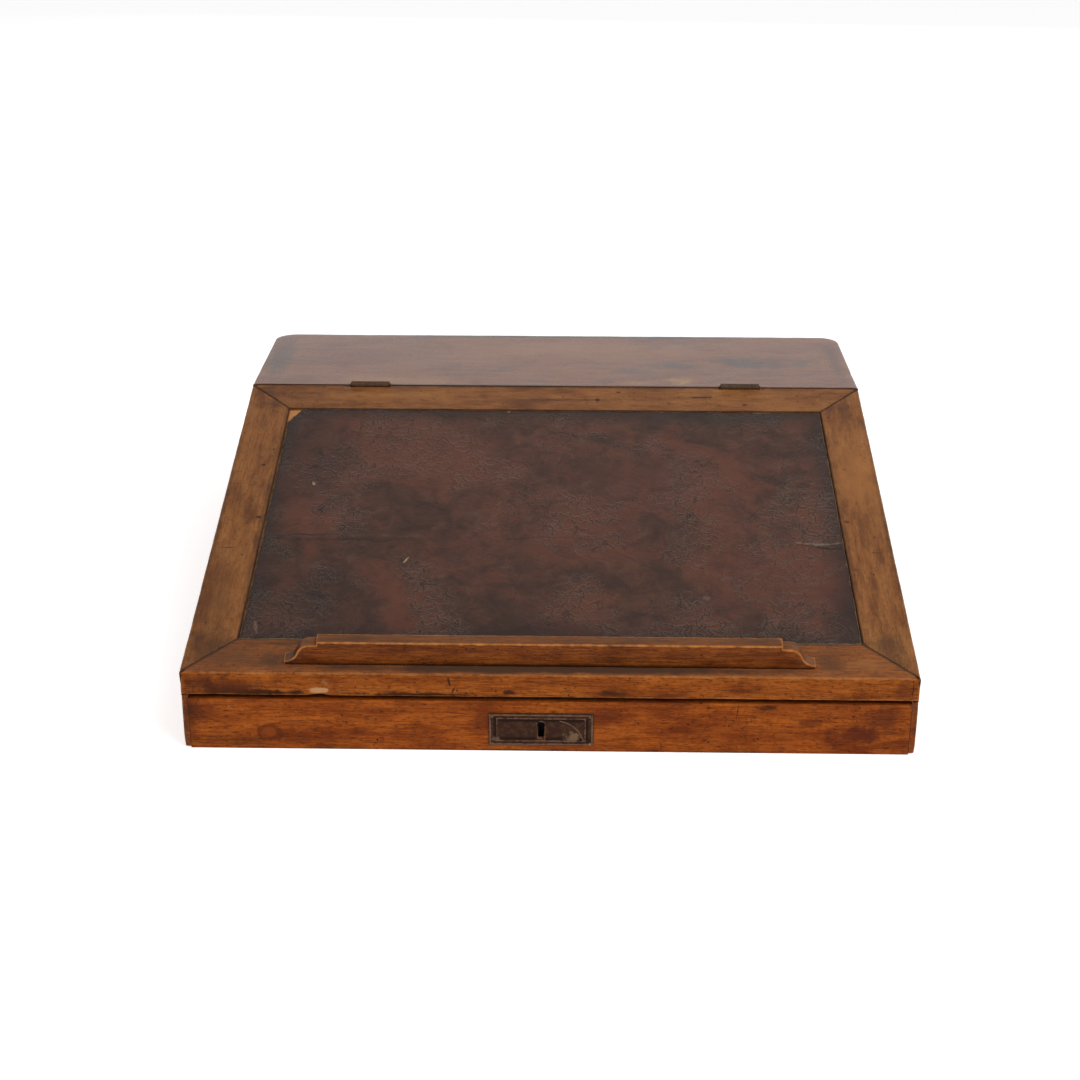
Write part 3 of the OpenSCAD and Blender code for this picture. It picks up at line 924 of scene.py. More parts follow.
@dataclass
class WornBoard:
    """A wooden piece copied from the model, with rubbed arrises and a surface that isn't quite flat."""

    node: str
    body: Body
    slot: str
    finish: WoodFinish
    sloped: bool = False
    arris: float = 1.1 * MM
    seam: float = 0.3 * MM
    rub: float = 0.45 * MM
    sag: float = 0.10 * MM
    pitch: Triple = (4.0, 8.0, 8.0)
    seed: float = 1.0
    dents: tuple[Dent, ...] = ()

    def make(self, layout: Layout, daylight: Daylight) -> bpy.types.Object:
        """Build the piece and hand it to the frame.

        Args:
            layout: Where the lid lies.
            daylight: Which faces are open.

        Returns:
            The piece.
        """
        piece = new_piece(self.node + "_worn", self._bevelled(layout.nodes[self.node].data, daylight))
        settle(piece)
        self._wear(piece.data, layout)
        piece.data.materials.clear()
        piece.data.materials.append(self.finish.material(layout))
        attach(piece, self.body.value)
        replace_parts(piece, self.node)
        return piece

    def _bevelled(self, source: bpy.types.Mesh, daylight: Daylight) -> bpy.types.Mesh:
        """Copy the node, merge it and round its edges, and keep a list of them.

        Args:
            source: The node's mesh.
            daylight: Which faces are open.

        Returns:
            The rounded copy.
        """
        bm = bmesh.new()
        bm.from_mesh(source)
        bmesh.ops.remove_doubles(bm, verts=bm.verts, dist=WELD)
        bmesh.ops.dissolve_limit(bm, angle_limit=math.radians(1.0), verts=bm.verts, edges=bm.edges)
        bm.normal_update()
        opened = {f: daylight.open_face(self.node, f) for f in bm.faces}
        weights = bm.edges.layers.float.get("bevel_weight_edge") or bm.edges.layers.float.new(
            "bevel_weight_edge"
        )
        self.arrises: list[tuple[Vector, Vector]] = []
        self.seams: list[tuple[Vector, Vector]] = []
        for edge in bm.edges:
            if len(edge.link_faces) != 2 or edge.calc_face_angle_signed(0.0) < math.radians(25):
                continue
            seen = sum(opened[f] for f in edge.link_faces)
            ends = (edge.verts[0].co.copy(), edge.verts[1].co.copy())
            if seen == 2:
                edge[weights] = 1.0
                self.arrises.append(ends)
            elif seen == 1:
                edge[weights] = self.seam / self.arris
                self.seams.append(ends)
        mesh = bpy.data.meshes.new(self.node + "_worn")
        bm.to_mesh(mesh)
        bm.free()
        helper = new_piece("helper", mesh)
        bevel = helper.modifiers.new("arrises", "BEVEL")
        bevel.limit_method, bevel.width, bevel.segments, bevel.profile = "WEIGHT", self.arris, 3, 0.6
        bevel.use_clamp_overlap, bevel.miter_outer = True, "MITER_ARC"
        settle(helper)
        mesh = helper.data
        bpy.data.objects.remove(helper)
        return mesh

    def _wear(self, mesh: bpy.types.Mesh, layout: Layout) -> None:
        """Cut the mesh finer, rub it down unevenly, and store where it is worn and dirty.

        Args:
            mesh: The board's mesh, which is changed.
            layout: Where the lid lies.
        """
        local = layout.to_lid if self.sloped else Matrix.Identity(4)
        bm = bmesh.new()
        bm.from_mesh(mesh)
        bm.transform(local)
        corners = np.array([v.co for v in bm.verts])
        low, high = corners.min(0), corners.max(0)
        for axis in range(3):
            size, step = high[axis] - low[axis], self.pitch[axis] * MM
            near = [2.2 * MM, 5.0 * MM] if size > 20 * MM else [2.2 * MM]
            count = int(size / step)
            places = [low[axis] + size * (i + 1) / (count + 1) for i in range(count)]
            places += [low[axis] + n for n in near] + [high[axis] - n for n in near]
            cut_planes(bm, axis, places)
        bm.transform(local.inverted())
        bmesh.ops.triangulate(bm, faces=[f for f in bm.faces if len(f.verts) > 4])
        bm.normal_update()
        points = np.array([v.co for v in bm.verts])
        arris, seam = segment_distance(points, self.arrises), segment_distance(points, self.seams)
        for vertex, near_arris, near_seam in zip(bm.verts, arris, seam):
            vertex.co -= vertex.normal * self._loss(vertex.co, float(near_arris), float(near_seam))
        for face in bm.faces:
            face.smooth = True
        bm.normal_update()
        for edge in bm.edges:
            edge.smooth = len(edge.link_faces) == 2 and edge.calc_face_angle(0.0) < math.radians(32)
        bm.to_mesh(mesh)
        bm.free()
        store(mesh, "wear", np.clip(1.0 - arris / (NEAR * MM), 0.0, 1.0))
        store(mesh, "grime", np.clip(1.0 - seam / (NEAR * MM), 0.0, 1.0))

    def _loss(self, point: Vector, near_arris: float, near_seam: float) -> float:
        """How much wood is gone at a point, in metres.

        Args:
            point: The point.
            near_arris: Its distance from the nearest open arris.
            near_seam: Its distance from the nearest seam.

        Returns:
            The depth.
        """
        if near_seam < 2.0 * MM and near_arris > 3.0 * MM:
            return 0.0
        shift = Vector((self.seed * 7.1, self.seed * 3.3, self.seed * 5.7))
        slow = 0.5 + 0.5 * noise.noise(point * 22.0 + shift)
        quick = 0.5 + 0.5 * noise.noise(point * 95.0 + shift)
        fast = 0.5 + 0.5 * noise.noise(point * 260.0 + shift)
        edge = max(0.0, 1.0 - near_arris / (3.5 * MM))
        loss = self.sag * slow + edge * self.rub * (0.55 * quick * quick + 0.45 * slow * fast)
        for dent in self.dents:
            away = (point - Vector(dent.at) * MM).length / (dent.radius * MM)
            if away < 1.0:
                loss += dent.depth * MM * (1.0 - away * away) ** 2
        return max(0.0, loss)


# ------------------------------------------------------------------ pieces


@dataclass
class WritingLeather:
    """The hide on the lid: a thin sheet with a wandering edge, a lost corner and a few creases."""

    node: str = "writing_leather"
    pitch: float = 1.6 * MM
    lost: tuple[float, float] = (9.5 * MM, 17.0 * MM)
    finish: LeatherFinish = field(default_factory=lambda: LeatherFinish("crazed_hide"))

    def make(self, layout: Layout) -> bpy.types.Object:
        """Build the sheet and hand it to the frame.

        Args:
            layout: Where the lid lies.

        Returns:
            The piece.
        """
        corners = [layout.to_lid @ v.co for v in layout.nodes[self.node].data.vertices]
        low = Vector([min(c[i] for c in corners) for i in range(3)])
        high = Vector([max(c[i] for c in corners) for i in range(3)])
        across = max(2, round((high.x - low.x) / self.pitch))
        deep = max(2, round((high.y - low.y) / self.pitch))
        bm = bmesh.new()
        tops: dict[tuple[int, int], bmesh.types.BMVert] = {}
        bottoms: dict[tuple[int, int], bmesh.types.BMVert] = {}
        edge_of: dict[tuple[int, int], float] = {}
        for i in range(across + 1):
            for j in range(deep + 1):
                flat = Vector(
                    (low.x + (high.x - low.x) * i / across, low.y + (high.y - low.y) * j / deep, 0.0)
                )
                edge_of[i, j] = min(flat.x - low.x, high.x - flat.x, flat.y - low.y, high.y - flat.y)
                flat = self._torn(self._drawn_in(flat, low, high), low, high)
                tops[i, j] = bm.verts.new((flat.x, flat.y, high.z + self._height(flat, low, high)))
                bottoms[i, j] = bm.verts.new((flat.x, flat.y, low.z + 0.02 * MM))
        for i in range(across):
            for j in range(deep):
                ring = [(i, j), (i + 1, j), (i + 1, j + 1), (i, j + 1)]
                middle = sum((tops[k].co for k in ring), Vector()) / 4
                if self._past_tear(middle.x, middle.y, low, high) < 0:
                    continue
                bm.faces.new([tops[k] for k in ring])
                bm.faces.new([bottoms[k] for k in reversed(ring)])
        rims = [e for e in bm.edges if len(e.link_faces) == 1]
        top_set = set(tops.values())
        partner = {tops[k]: bottoms[k] for k in tops}
        for edge in [e for e in rims if e.verts[0] in top_set]:
            face = edge.link_faces[0]
            order = [loop.vert for loop in face.loops if loop.vert in edge.verts]
            start = face.loops[0]
            wraps = start.link_loop_prev.vert in edge.verts and start.vert in edge.verts
            first, second = order[::-1] if wraps else order
            bm.faces.new((second, first, partner[first], partner[second]))
        for vertex in [v for v in bm.verts if not v.link_faces]:
            bm.verts.remove(vertex)
        bmesh.ops.recalc_face_normals(bm, faces=bm.faces)
        depth = {tops[k]: edge_of[k] for k in tops if tops[k].is_valid}
        order = [depth.get(v, 0.0) for v in bm.verts]
        bm.transform(layout.from_lid)
        for face in bm.faces:
            face.smooth = True
        mesh = bpy.data.meshes.new("writing_leather_worn")
        bm.to_mesh(mesh)
        bm.free()
        store(mesh, "grime", [max(0.0, 1.0 - d / (26.0 * MM)) for d in order])
        store(mesh, "wear", [max(0.0, 1.0 - d / (2.2 * MM)) for d in order])
        mesh.materials.append(self.finish.material(layout))
        piece = new_piece("writing_leather_worn", mesh)
        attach(piece, Body.LID.value)
        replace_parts(piece, self.node)
        return piece

    def _drawn_in(self, flat: Vector, low: Vector, high: Vector) -> Vector:
        """The point, pulled in a little where the hide's edge has shrunk.

        Args:
            flat: The point before.
            low: The hide's lowest corner, in the lid's flat frame.
            high: Its highest corner.

        Returns:
            The point after.
        """
        pulled = flat.copy()
        for axis, other in ((0, 1), (1, 0)):
            for side, sign in ((low, 1.0), (high, -1.0)):
                near = abs(flat[axis] - side[axis])
                if near < 6 * MM:
                    key = Vector((flat[other] * 60.0, axis * 5.0 + sign * 3.0, 0.5))
                    shrink = 0.45 + 0.45 * noise.noise(key) + 0.25 * noise.noise(key * 5.0)
                    far_left = 1.9 if axis == 0 and sign > 0 else 1.0
                    pulled[axis] += sign * max(0.0, shrink) * far_left * MM * (1 - near / (6 * MM))
        return pulled

    def _height(self, flat: Vector, low: Vector, high: Vector) -> float:
        """How far the hide's face stands from its nominal height, in metres.

        Args:
            flat: The point.
            low: The hide's lowest corner, in the lid's flat frame.
            high: Its highest corner.

        Returns:
            The height, up or down.
        """
        key = flat * 1.0
        slow = noise.noise(key * 18.0) * 0.12
        ripple = noise.noise(key * 70.0 + Vector((3.0, 1.0, 2.0))) * 0.10
        nap = noise.noise(key * 240.0) * 0.05
        near = min(flat.x - low.x, high.x - flat.x, flat.y - low.y, high.y - flat.y)
        curl = max(0.0, 1 - near / (5 * MM)) * (
            0.22 * noise.noise(Vector((flat.x * 45, flat.y * 45, 4.0))) - 0.10
        )
        up = flat.y - low.y
        sway = (
            4 * noise.noise(Vector((flat.x * 22, 0, 1))) + 1.3 * noise.noise(Vector((flat.x * 90, 0, 7)))
        ) * MM
        left = max(0.0, 1 - abs(up - 100 * MM - sway) / (2.2 * MM)) * max(
            0.0, 1 - (flat.x - low.x) / (120 * MM)
        )
        right = max(0.0, 1 - abs(up - 96 * MM - sway) / (2.2 * MM)) * max(
            0.0, 1 - (high.x - flat.x) / (55 * MM)
        )
        return (slow + ripple + nap + curl + 0.45 * left + 0.4 * right) * MM

    def _past_tear(self, x: float, y: float, low: Vector, high: Vector) -> float:
        """How far a spot is from the torn corner's edge: negative where the hide has gone.

        Args:
            x: The spot's place across the lid.
            y: Its place up the lid.
            low: The hide's lowest corner, in the lid's flat frame.
            high: Its highest corner.

        Returns:
            The distance, in metres.
        """
        wander = 0.9 * MM * noise.noise(Vector((x * 300.0, y * 300.0, 1.0)))
        steep = math.hypot(1 / self.lost[0], 1 / self.lost[1])
        return ((x - low.x + wander) / self.lost[0] + (high.y - y) / self.lost[1] - 1.0) / steep

    def _torn(self, flat: Vector, low: Vector, high: Vector) -> Vector:
        """The point, moved onto the tear if it is close to it.

        Args:
            flat: The point before.
            low: The hide's lowest corner, in the lid's flat frame.
            high: Its highest corner.

        Returns:
            The point after.
        """
        gap = self._past_tear(flat.x, flat.y, low, high)
        if abs(gap) > self.pitch * 0.7:
            return flat
        steep = math.hypot(1 / self.lost[0], 1 / self.lost[1])
        return flat - Vector((1 / self.lost[0], -1 / self.lost[1], 0.0)) * (gap / steep)


@dataclass
class Escutcheon:
    """The stamped plate round the keyhole, with a double fillet and a leaf arc in one corner."""

    node: str = "escutcheon"
    pitch: float = 0.36 * MM
    rim: float = 0.5 * MM
    base: float = 0.7 * MM
    border: tuple[float, float] = (4.9 * MM, 3.1 * MM)
    keyhole_r: float = 2.45 * MM
    slot_w: float = 4.3 * MM
    leaf_at: tuple[float, float] = (22.8 * MM, -0.8 * MM)
    leaf_r: float = 17.4 * MM
    finish: MetalFinish = field(
        default_factory=lambda: MetalFinish(
            "brown_patina", (0.16, 0.088, 0.058), (0.034, 0.0125, 0.007), (0.056, 0.026, 0.012),
            cover=0.9, gloss=0.55, shine=0.12, grit=420.0, rub=0.56,
            marks=(
                Mark(
                    (14.4, -211, 10.2), (6, 4, 4.4), (0.165, 0.100, 0.054), 0.85,
                    soft=0.7, ragged=1.1, grit=320,
                ),
                Mark(
                    (-31, -211, 8.2), (4.2, 4, 2.2), (0.15, 0.085, 0.050), 0.6,
                    soft=0.7, ragged=0.9, grit=300,
                ),
            ),
        )
    )

    def make(self, layout: Layout) -> bpy.types.Object:
        """Build the plate and hand it to the frame.

        Args:
            layout: Where the lid lies.

        Returns:
            The piece.
        """
        low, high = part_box(self.node)
        self.low, self.high = low, high
        self.key_x = (low.x + high.x) / 2
        self.key_z, self.foot_z = self._keyhole(layout.nodes[self.node].data)
        across, tall = round((high.x - low.x) / self.pitch), round((high.z - low.z) / self.pitch)
        bm = bmesh.new()
        front: dict[tuple[int, int], bmesh.types.BMVert] = {}
        back: dict[tuple[int, int], bmesh.types.BMVert] = {}
        raised: dict[bmesh.types.BMVert, tuple[float, float]] = {}
        for i in range(across + 1):
            for j in range(tall + 1):
                x = low.x + (high.x - low.x) * i / across
                z = low.z + (high.z - low.z) * j / tall
                x, z = self._snapped(x, z)
                relief, ridge_rub = self._relief(x, z)
                front[i, j] = bm.verts.new((x, high.y - self.base - relief, z))
                back[i, j] = bm.verts.new((x, high.y - 0.02 * MM, z))
                raised[front[i, j]] = (ridge_rub, relief)
        for i in range(across):
            for j in range(tall):
                ring = [(i, j), (i + 1, j), (i + 1, j + 1), (i, j + 1)]
                middle = sum((front[k].co for k in ring), Vector()) / 4
                if self._into_hole(middle.x, middle.z) < 0:
                    continue
                bm.faces.new([front[k] for k in ring])
                bm.faces.new([back[k] for k in reversed(ring)])
        partner = {front[k]: back[k] for k in front}
        for edge in [e for e in bm.edges if len(e.link_faces) == 1 and e.verts[0] in partner]:
            bm.faces.new((edge.verts[0], edge.verts[1], partner[edge.verts[1]], partner[edge.verts[0]]))
        for vertex in [v for v in bm.verts if not v.link_faces]:
            bm.verts.remove(vertex)
        bmesh.ops.recalc_face_normals(bm, faces=bm.faces)
        worn = [raised.get(v, (0.0, 0.0))[0] for v in bm.verts]
        dirty = [
            max(0.0, 1.0 - raised.get(v, (0.0, self.rim))[1] / (0.22 * MM)) * self._moat(v.co)
            for v in bm.verts
        ]
        for face in bm.faces:
            face.smooth = True
        for edge in bm.edges:
            edge.smooth = len(edge.link_faces) == 2 and edge.calc_face_angle(0.0) < math.radians(50)
        mesh = bpy.data.meshes.new("escutcheon_stamped")
        bm.to_mesh(mesh)
        bm.free()
        store(mesh, "wear", worn)
        store(mesh, "grime", dirty)
        mesh.materials.append(self.finish.material(layout))
        piece = new_piece("escutcheon_stamped", mesh)
        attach(piece, Body.CASE.value)
        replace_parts(piece, self.node)
        return piece

    def _keyhole(self, source: bpy.types.Mesh) -> tuple[float, float]:
        """Find the keyhole.

        Args:
            source: The node's mesh.

        Returns:
            The height of the middle of its round end, and of its foot.
        """
        half = self.keyhole_r + 0.3 * MM
        heights = [v.co.z for v in source.vertices if abs(v.co.x - self.key_x) < half]
        inner = [z for z in heights if self.low.z + 3.3 * MM < z < self.high.z - 3.3 * MM]
        return max(inner) - self.keyhole_r, min(inner)

    def _into_hole(self, x: float, z: float) -> float:
        """Distance from the keyhole's outline, negative inside it.

        Args:
            x: Across the plate.
            z: Up the plate.

        Returns:
            The distance, in metres.
        """
        round_end = math.hypot(x - self.key_x, z - self.key_z) - self.keyhole_r
        slot = max(abs(x - self.key_x) - self.slot_w / 2, z - self.key_z, self.foot_z - z)
        return min(round_end, slot)

    def _snapped(self, x: float, z: float) -> tuple[float, float]:
        """The grid point, moved onto the keyhole's outline if it is near.

        Args:
            x: Across the plate.
            z: Up the plate.

        Returns:
            The point after, across and up.
        """
        for _ in range(3):
            gap = self._into_hole(x, z)
            if abs(gap) > self.pitch * 0.6:
                return x, z
            tiny = 0.02 * MM
            gx = (self._into_hole(x + tiny, z) - self._into_hole(x - tiny, z)) / (2 * tiny)
            gz = (self._into_hole(x, z + tiny) - self._into_hole(x, z - tiny)) / (2 * tiny)
            size = math.hypot(gx, gz) or 1.0
            x, z = x - gx / size * gap, z - gz / size * gap
        return x, z

    def _moat(self, point: Vector) -> float:
        """How much dirt gathers at a point of the plate."""
        inset = min(point.x - self.low.x, self.high.x - point.x, point.z - self.low.z, self.high.z - point.z)
        return max(0.0, 1.0 - abs(inset - 4.2 * MM) / (2.5 * MM))

    def _relief(self, x: float, z: float) -> tuple[float, float]:
        """The stamping's height, and how rubbed it is there.

        Args:
            x: Across the plate.
            z: Up the plate.

        Returns:
            The height in metres, and the rubbing from 0 to 1.
        """

        def ridge(away: float, width: float, rise: float) -> float:
            """A rounded ridge's height at a distance from its middle."""
            return rise * max(0.0, 1.0 - (away / width) ** 2)

        inset_x = min(x - self.low.x, self.high.x - x)
        inset_z = min(z - self.low.z, self.high.z - z)
        inset = min(inset_x, inset_z)
        outer = ridge(inset - 0.9 * MM, 0.75 * MM, self.rim)
        panel_x, panel_z = inset_x - self.border[0], inset_z - self.border[1]
        inner = ridge(min(panel_x, panel_z), 0.6 * MM, self.rim * 0.75) if min(
            panel_x, panel_z
        ) > -2 * MM else 0.0
        over, up = x - (self.high.x - self.leaf_at[0]), z - (self.low.z + self.leaf_at[1])
        inside = (
            over > 3.0 * MM and self.border[1] < z - self.low.z < self.high.z - self.low.z - self.border[1]
        )
        arc = ridge(math.hypot(over, up) - self.leaf_r, 0.55 * MM, self.rim) if inside else 0.0
        hole = self._into_hole(x, z)
        lip = ridge(hole - 0.35 * MM, 0.45 * MM, self.rim * 0.35) if hole > -0.2 * MM else 0.0
        height = max(outer, inner, arc, lip) * (0.9 + 0.1 * noise.noise(Vector((x, 0, z)) * 900.0))
        uneven = 0.035 * MM * noise.noise(Vector((x, 3.0, z)) * 260.0)
        return max(0.0, min(self.rim, height + uneven)), min(
            1.0, height / self.rim + (0.25 if lip > 0 else 0.0)
        )


@dataclass
class Screws:
    """Countersunk slotted screws, made by Geometry Nodes at the heads of one node's screws."""

    node: str
    body: Body
    aim: Triple
    length: float
    head_r: float = 2.1 * MM
    shank_r: float = 1.1 * MM
    head_share: float = 0.52
    slot: tuple[float, float] = (0.5 * MM, 0.9 * MM)
    point: float = 2 * MM
    seed: int = 1
    in_lid: bool = False
    metal: str = "iron"

    def make(self, layout: Layout, paint: bpy.types.Material) -> bpy.types.Object:
        """Build the screws and hand them to the frame.

        Args:
            layout: Where the lid lies.
            paint: Their material.

        Returns:
            The piece, with every screw of the node.
        """
        aim = Vector(self.aim)
        if self.in_lid:
            aim = (layout.from_lid.to_3x3() @ aim).normalized()
        heads = head_points(layout.nodes[self.node].data, aim)
        mesh = bpy.data.meshes.new(self.node + "_turned")
        mesh.from_pydata([p for p, _ in heads], [], [])
        layer = mesh.attributes.new("aim", "FLOAT_VECTOR", "POINT")
        layer.data.foreach_set("vector", [c for _, a in heads for c in a])
        piece = new_piece(self.node + "_turned", mesh)
        tree = self._tree(paint)
        modifier = piece.modifiers.new("screws", "NODES")
        modifier.node_group = tree
        sizes = {
            "Head radius": self.head_r, "Shank radius": self.shank_r, "Length": self.length, "Seed": self.seed
        }
        for item in tree.interface.items_tree:
            if item.item_type == "SOCKET" and item.in_out == "INPUT" and item.name in sizes:
                modifier[item.identifier] = sizes[item.name]
        settle(piece)
        for face in piece.data.polygons:
            face.use_smooth = False
        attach(piece, self.body.value)
        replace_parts(piece, self.node)
        return piece

    def _tree(self, paint: bpy.types.Material) -> bpy.types.NodeTree:
        """The node tree: a head, a shank and a point with a slot cut across, set at every point.

        Args:
            paint: The screws' material.

        Returns:
            The tree, whose inputs are the screw's sizes and the seed.
        """
        tree = bpy.data.node_groups.new("slotted_screws", "GeometryNodeTree")
        tree.interface.new_socket("Geometry", in_out="OUTPUT", socket_type="NodeSocketGeometry")
        for name, kind in (
            ("Geometry", "Geometry"),
            ("Head radius", "Float"),
            ("Shank radius", "Float"),
            ("Length", "Float"),
            ("Seed", "Int"),
        ):
            tree.interface.new_socket(name, in_out="INPUT", socket_type=f"NodeSocket{kind}")
        bench = Bench(tree)
        points, head_r, shank_r, length, seed = (
            Signal(bench, s) for s in bench.node("NodeGroupInput").outputs[:5]
        )
        deep = head_r * self.head_share
        head = bench.lowered(
            "GeometryNodeMeshCone",
            {"Vertices": 28, "Radius Top": head_r, "Radius Bottom": shank_r, "Depth": deep},
            deep,
        )
        size = bench.add(
            "ShaderNodeCombineXYZ", sockets={"X": head_r * 2.4, "Y": self.slot[0], "Z": self.slot[1]}
        )
        slot = bench.add("GeometryNodeMeshCube", sockets={"Size": size})
        slotted = bench.add(
            "GeometryNodeMeshBoolean", {"operation": "DIFFERENCE", "solver": "EXACT"},
            {"Mesh 1": head, "Mesh 2": slot},
        )
        straight = length - self.point
        shank = bench.lowered(
            "GeometryNodeMeshCylinder", {"Vertices": 20, "Radius": shank_r, "Depth": straight},
            straight * 0.5 + 0.3 * MM,
        )
        tip = bench.lowered(
            "GeometryNodeMeshCone",
            {"Vertices": 20, "Radius Top": shank_r, "Radius Bottom": 0.1 * MM, "Depth": self.point},
            length,
        )
        screw = bench.add("GeometryNodeJoinGeometry", sockets={0: [slotted, shank, tip]})
        aim = bench.add(
            "GeometryNodeInputNamedAttribute", {"data_type": "FLOAT_VECTOR"}, {"Name": "aim"}, "Attribute"
        )
        upright = bench.add("FunctionNodeAlignRotationToVector", {"axis": "Z"}, {"Vector": aim})
        angle = bench.add(
            "FunctionNodeRandomValue", {"data_type": "FLOAT"}, {2: 0.0, 3: math.pi, "Seed": seed}, 1
        )
        spin = bench.add(
            "FunctionNodeEulerToRotation",
            sockets={"Euler": bench.add("ShaderNodeCombineXYZ", sockets={"Z": angle})},
        )
        turn = bench.add(
            "FunctionNodeRotateRotation", {"rotation_space": "LOCAL"},
            {"Rotation": upright, "Rotate By": spin},
        )
        placed = bench.add(
            "GeometryNodeInstanceOnPoints", sockets={"Points": points, "Instance": screw, "Rotation": turn}
        )
        real = bench.add("GeometryNodeRealizeInstances", sockets={"Geometry": placed})
        bench.node(
            "NodeGroupOutput",
            sockets={0: bench.add("GeometryNodeSetMaterial", sockets={"Geometry": real, "Material": paint})},
        )
        return tree


def head_points(source: bpy.types.Mesh, aim: Vector) -> list[tuple[Vector, Vector]]:
    """Where the heads of a node's screws are.

    Args:
        source: The node's mesh, whose solids are the screws.
        aim: The way that their heads face.

    Returns:
        The middle of each head's face, and the way it faces.
    """
    bm = bmesh.new()
    bm.from_mesh(source)
    bmesh.ops.remove_doubles(bm, verts=bm.verts, dist=WELD)
    left = set(bm.verts)
    found = []
    while left:
        island, edge = set(), [left.pop()]
        while edge:
            vertex = edge.pop()
            island.add(vertex)
            for link in vertex.link_edges:
                other = link.other_vert(vertex)
                if other in left:
                    left.discard(other)
                    edge.append(other)
        points = [v.co.copy() for v in island]
        top = max(p.dot(aim) for p in points)
        face = [p for p in points if p.dot(aim) > top - 0.02 * MM]
        low = Vector([min(p[i] for p in face) for i in range(3)])
        high = Vector([max(p[i] for p in face) for i in range(3)])
        found.append(((low + high) / 2, aim.copy()))
    bm.free()
    return sorted(found, key=lambda f: tuple(round(c, 5) for c in f[0]))


# ------------------------------------------------------------------ sub-assemblies


# Near-black brown: dirt in scratches, holes, joints and worn edges, darker bottom edges, and painted shade at
# the foot of the book ledge.
DIRT_AND_SHADE: Colour = (0.020, 0.007, 0.003)
AMBER = dict(
    dark=(0.120, 0.022, 0.003), mid=(0.260, 0.058, 0.006), light=(0.37, 0.098, 0.011),
    rubbed=(0.42, 0.15, 0.035),
)
FRAME = dict(
    dark=(0.140, 0.043, 0.010), mid=(0.285, 0.102, 0.023), light=(0.40, 0.165, 0.043),
    rubbed=(0.46, 0.22, 0.075),
)


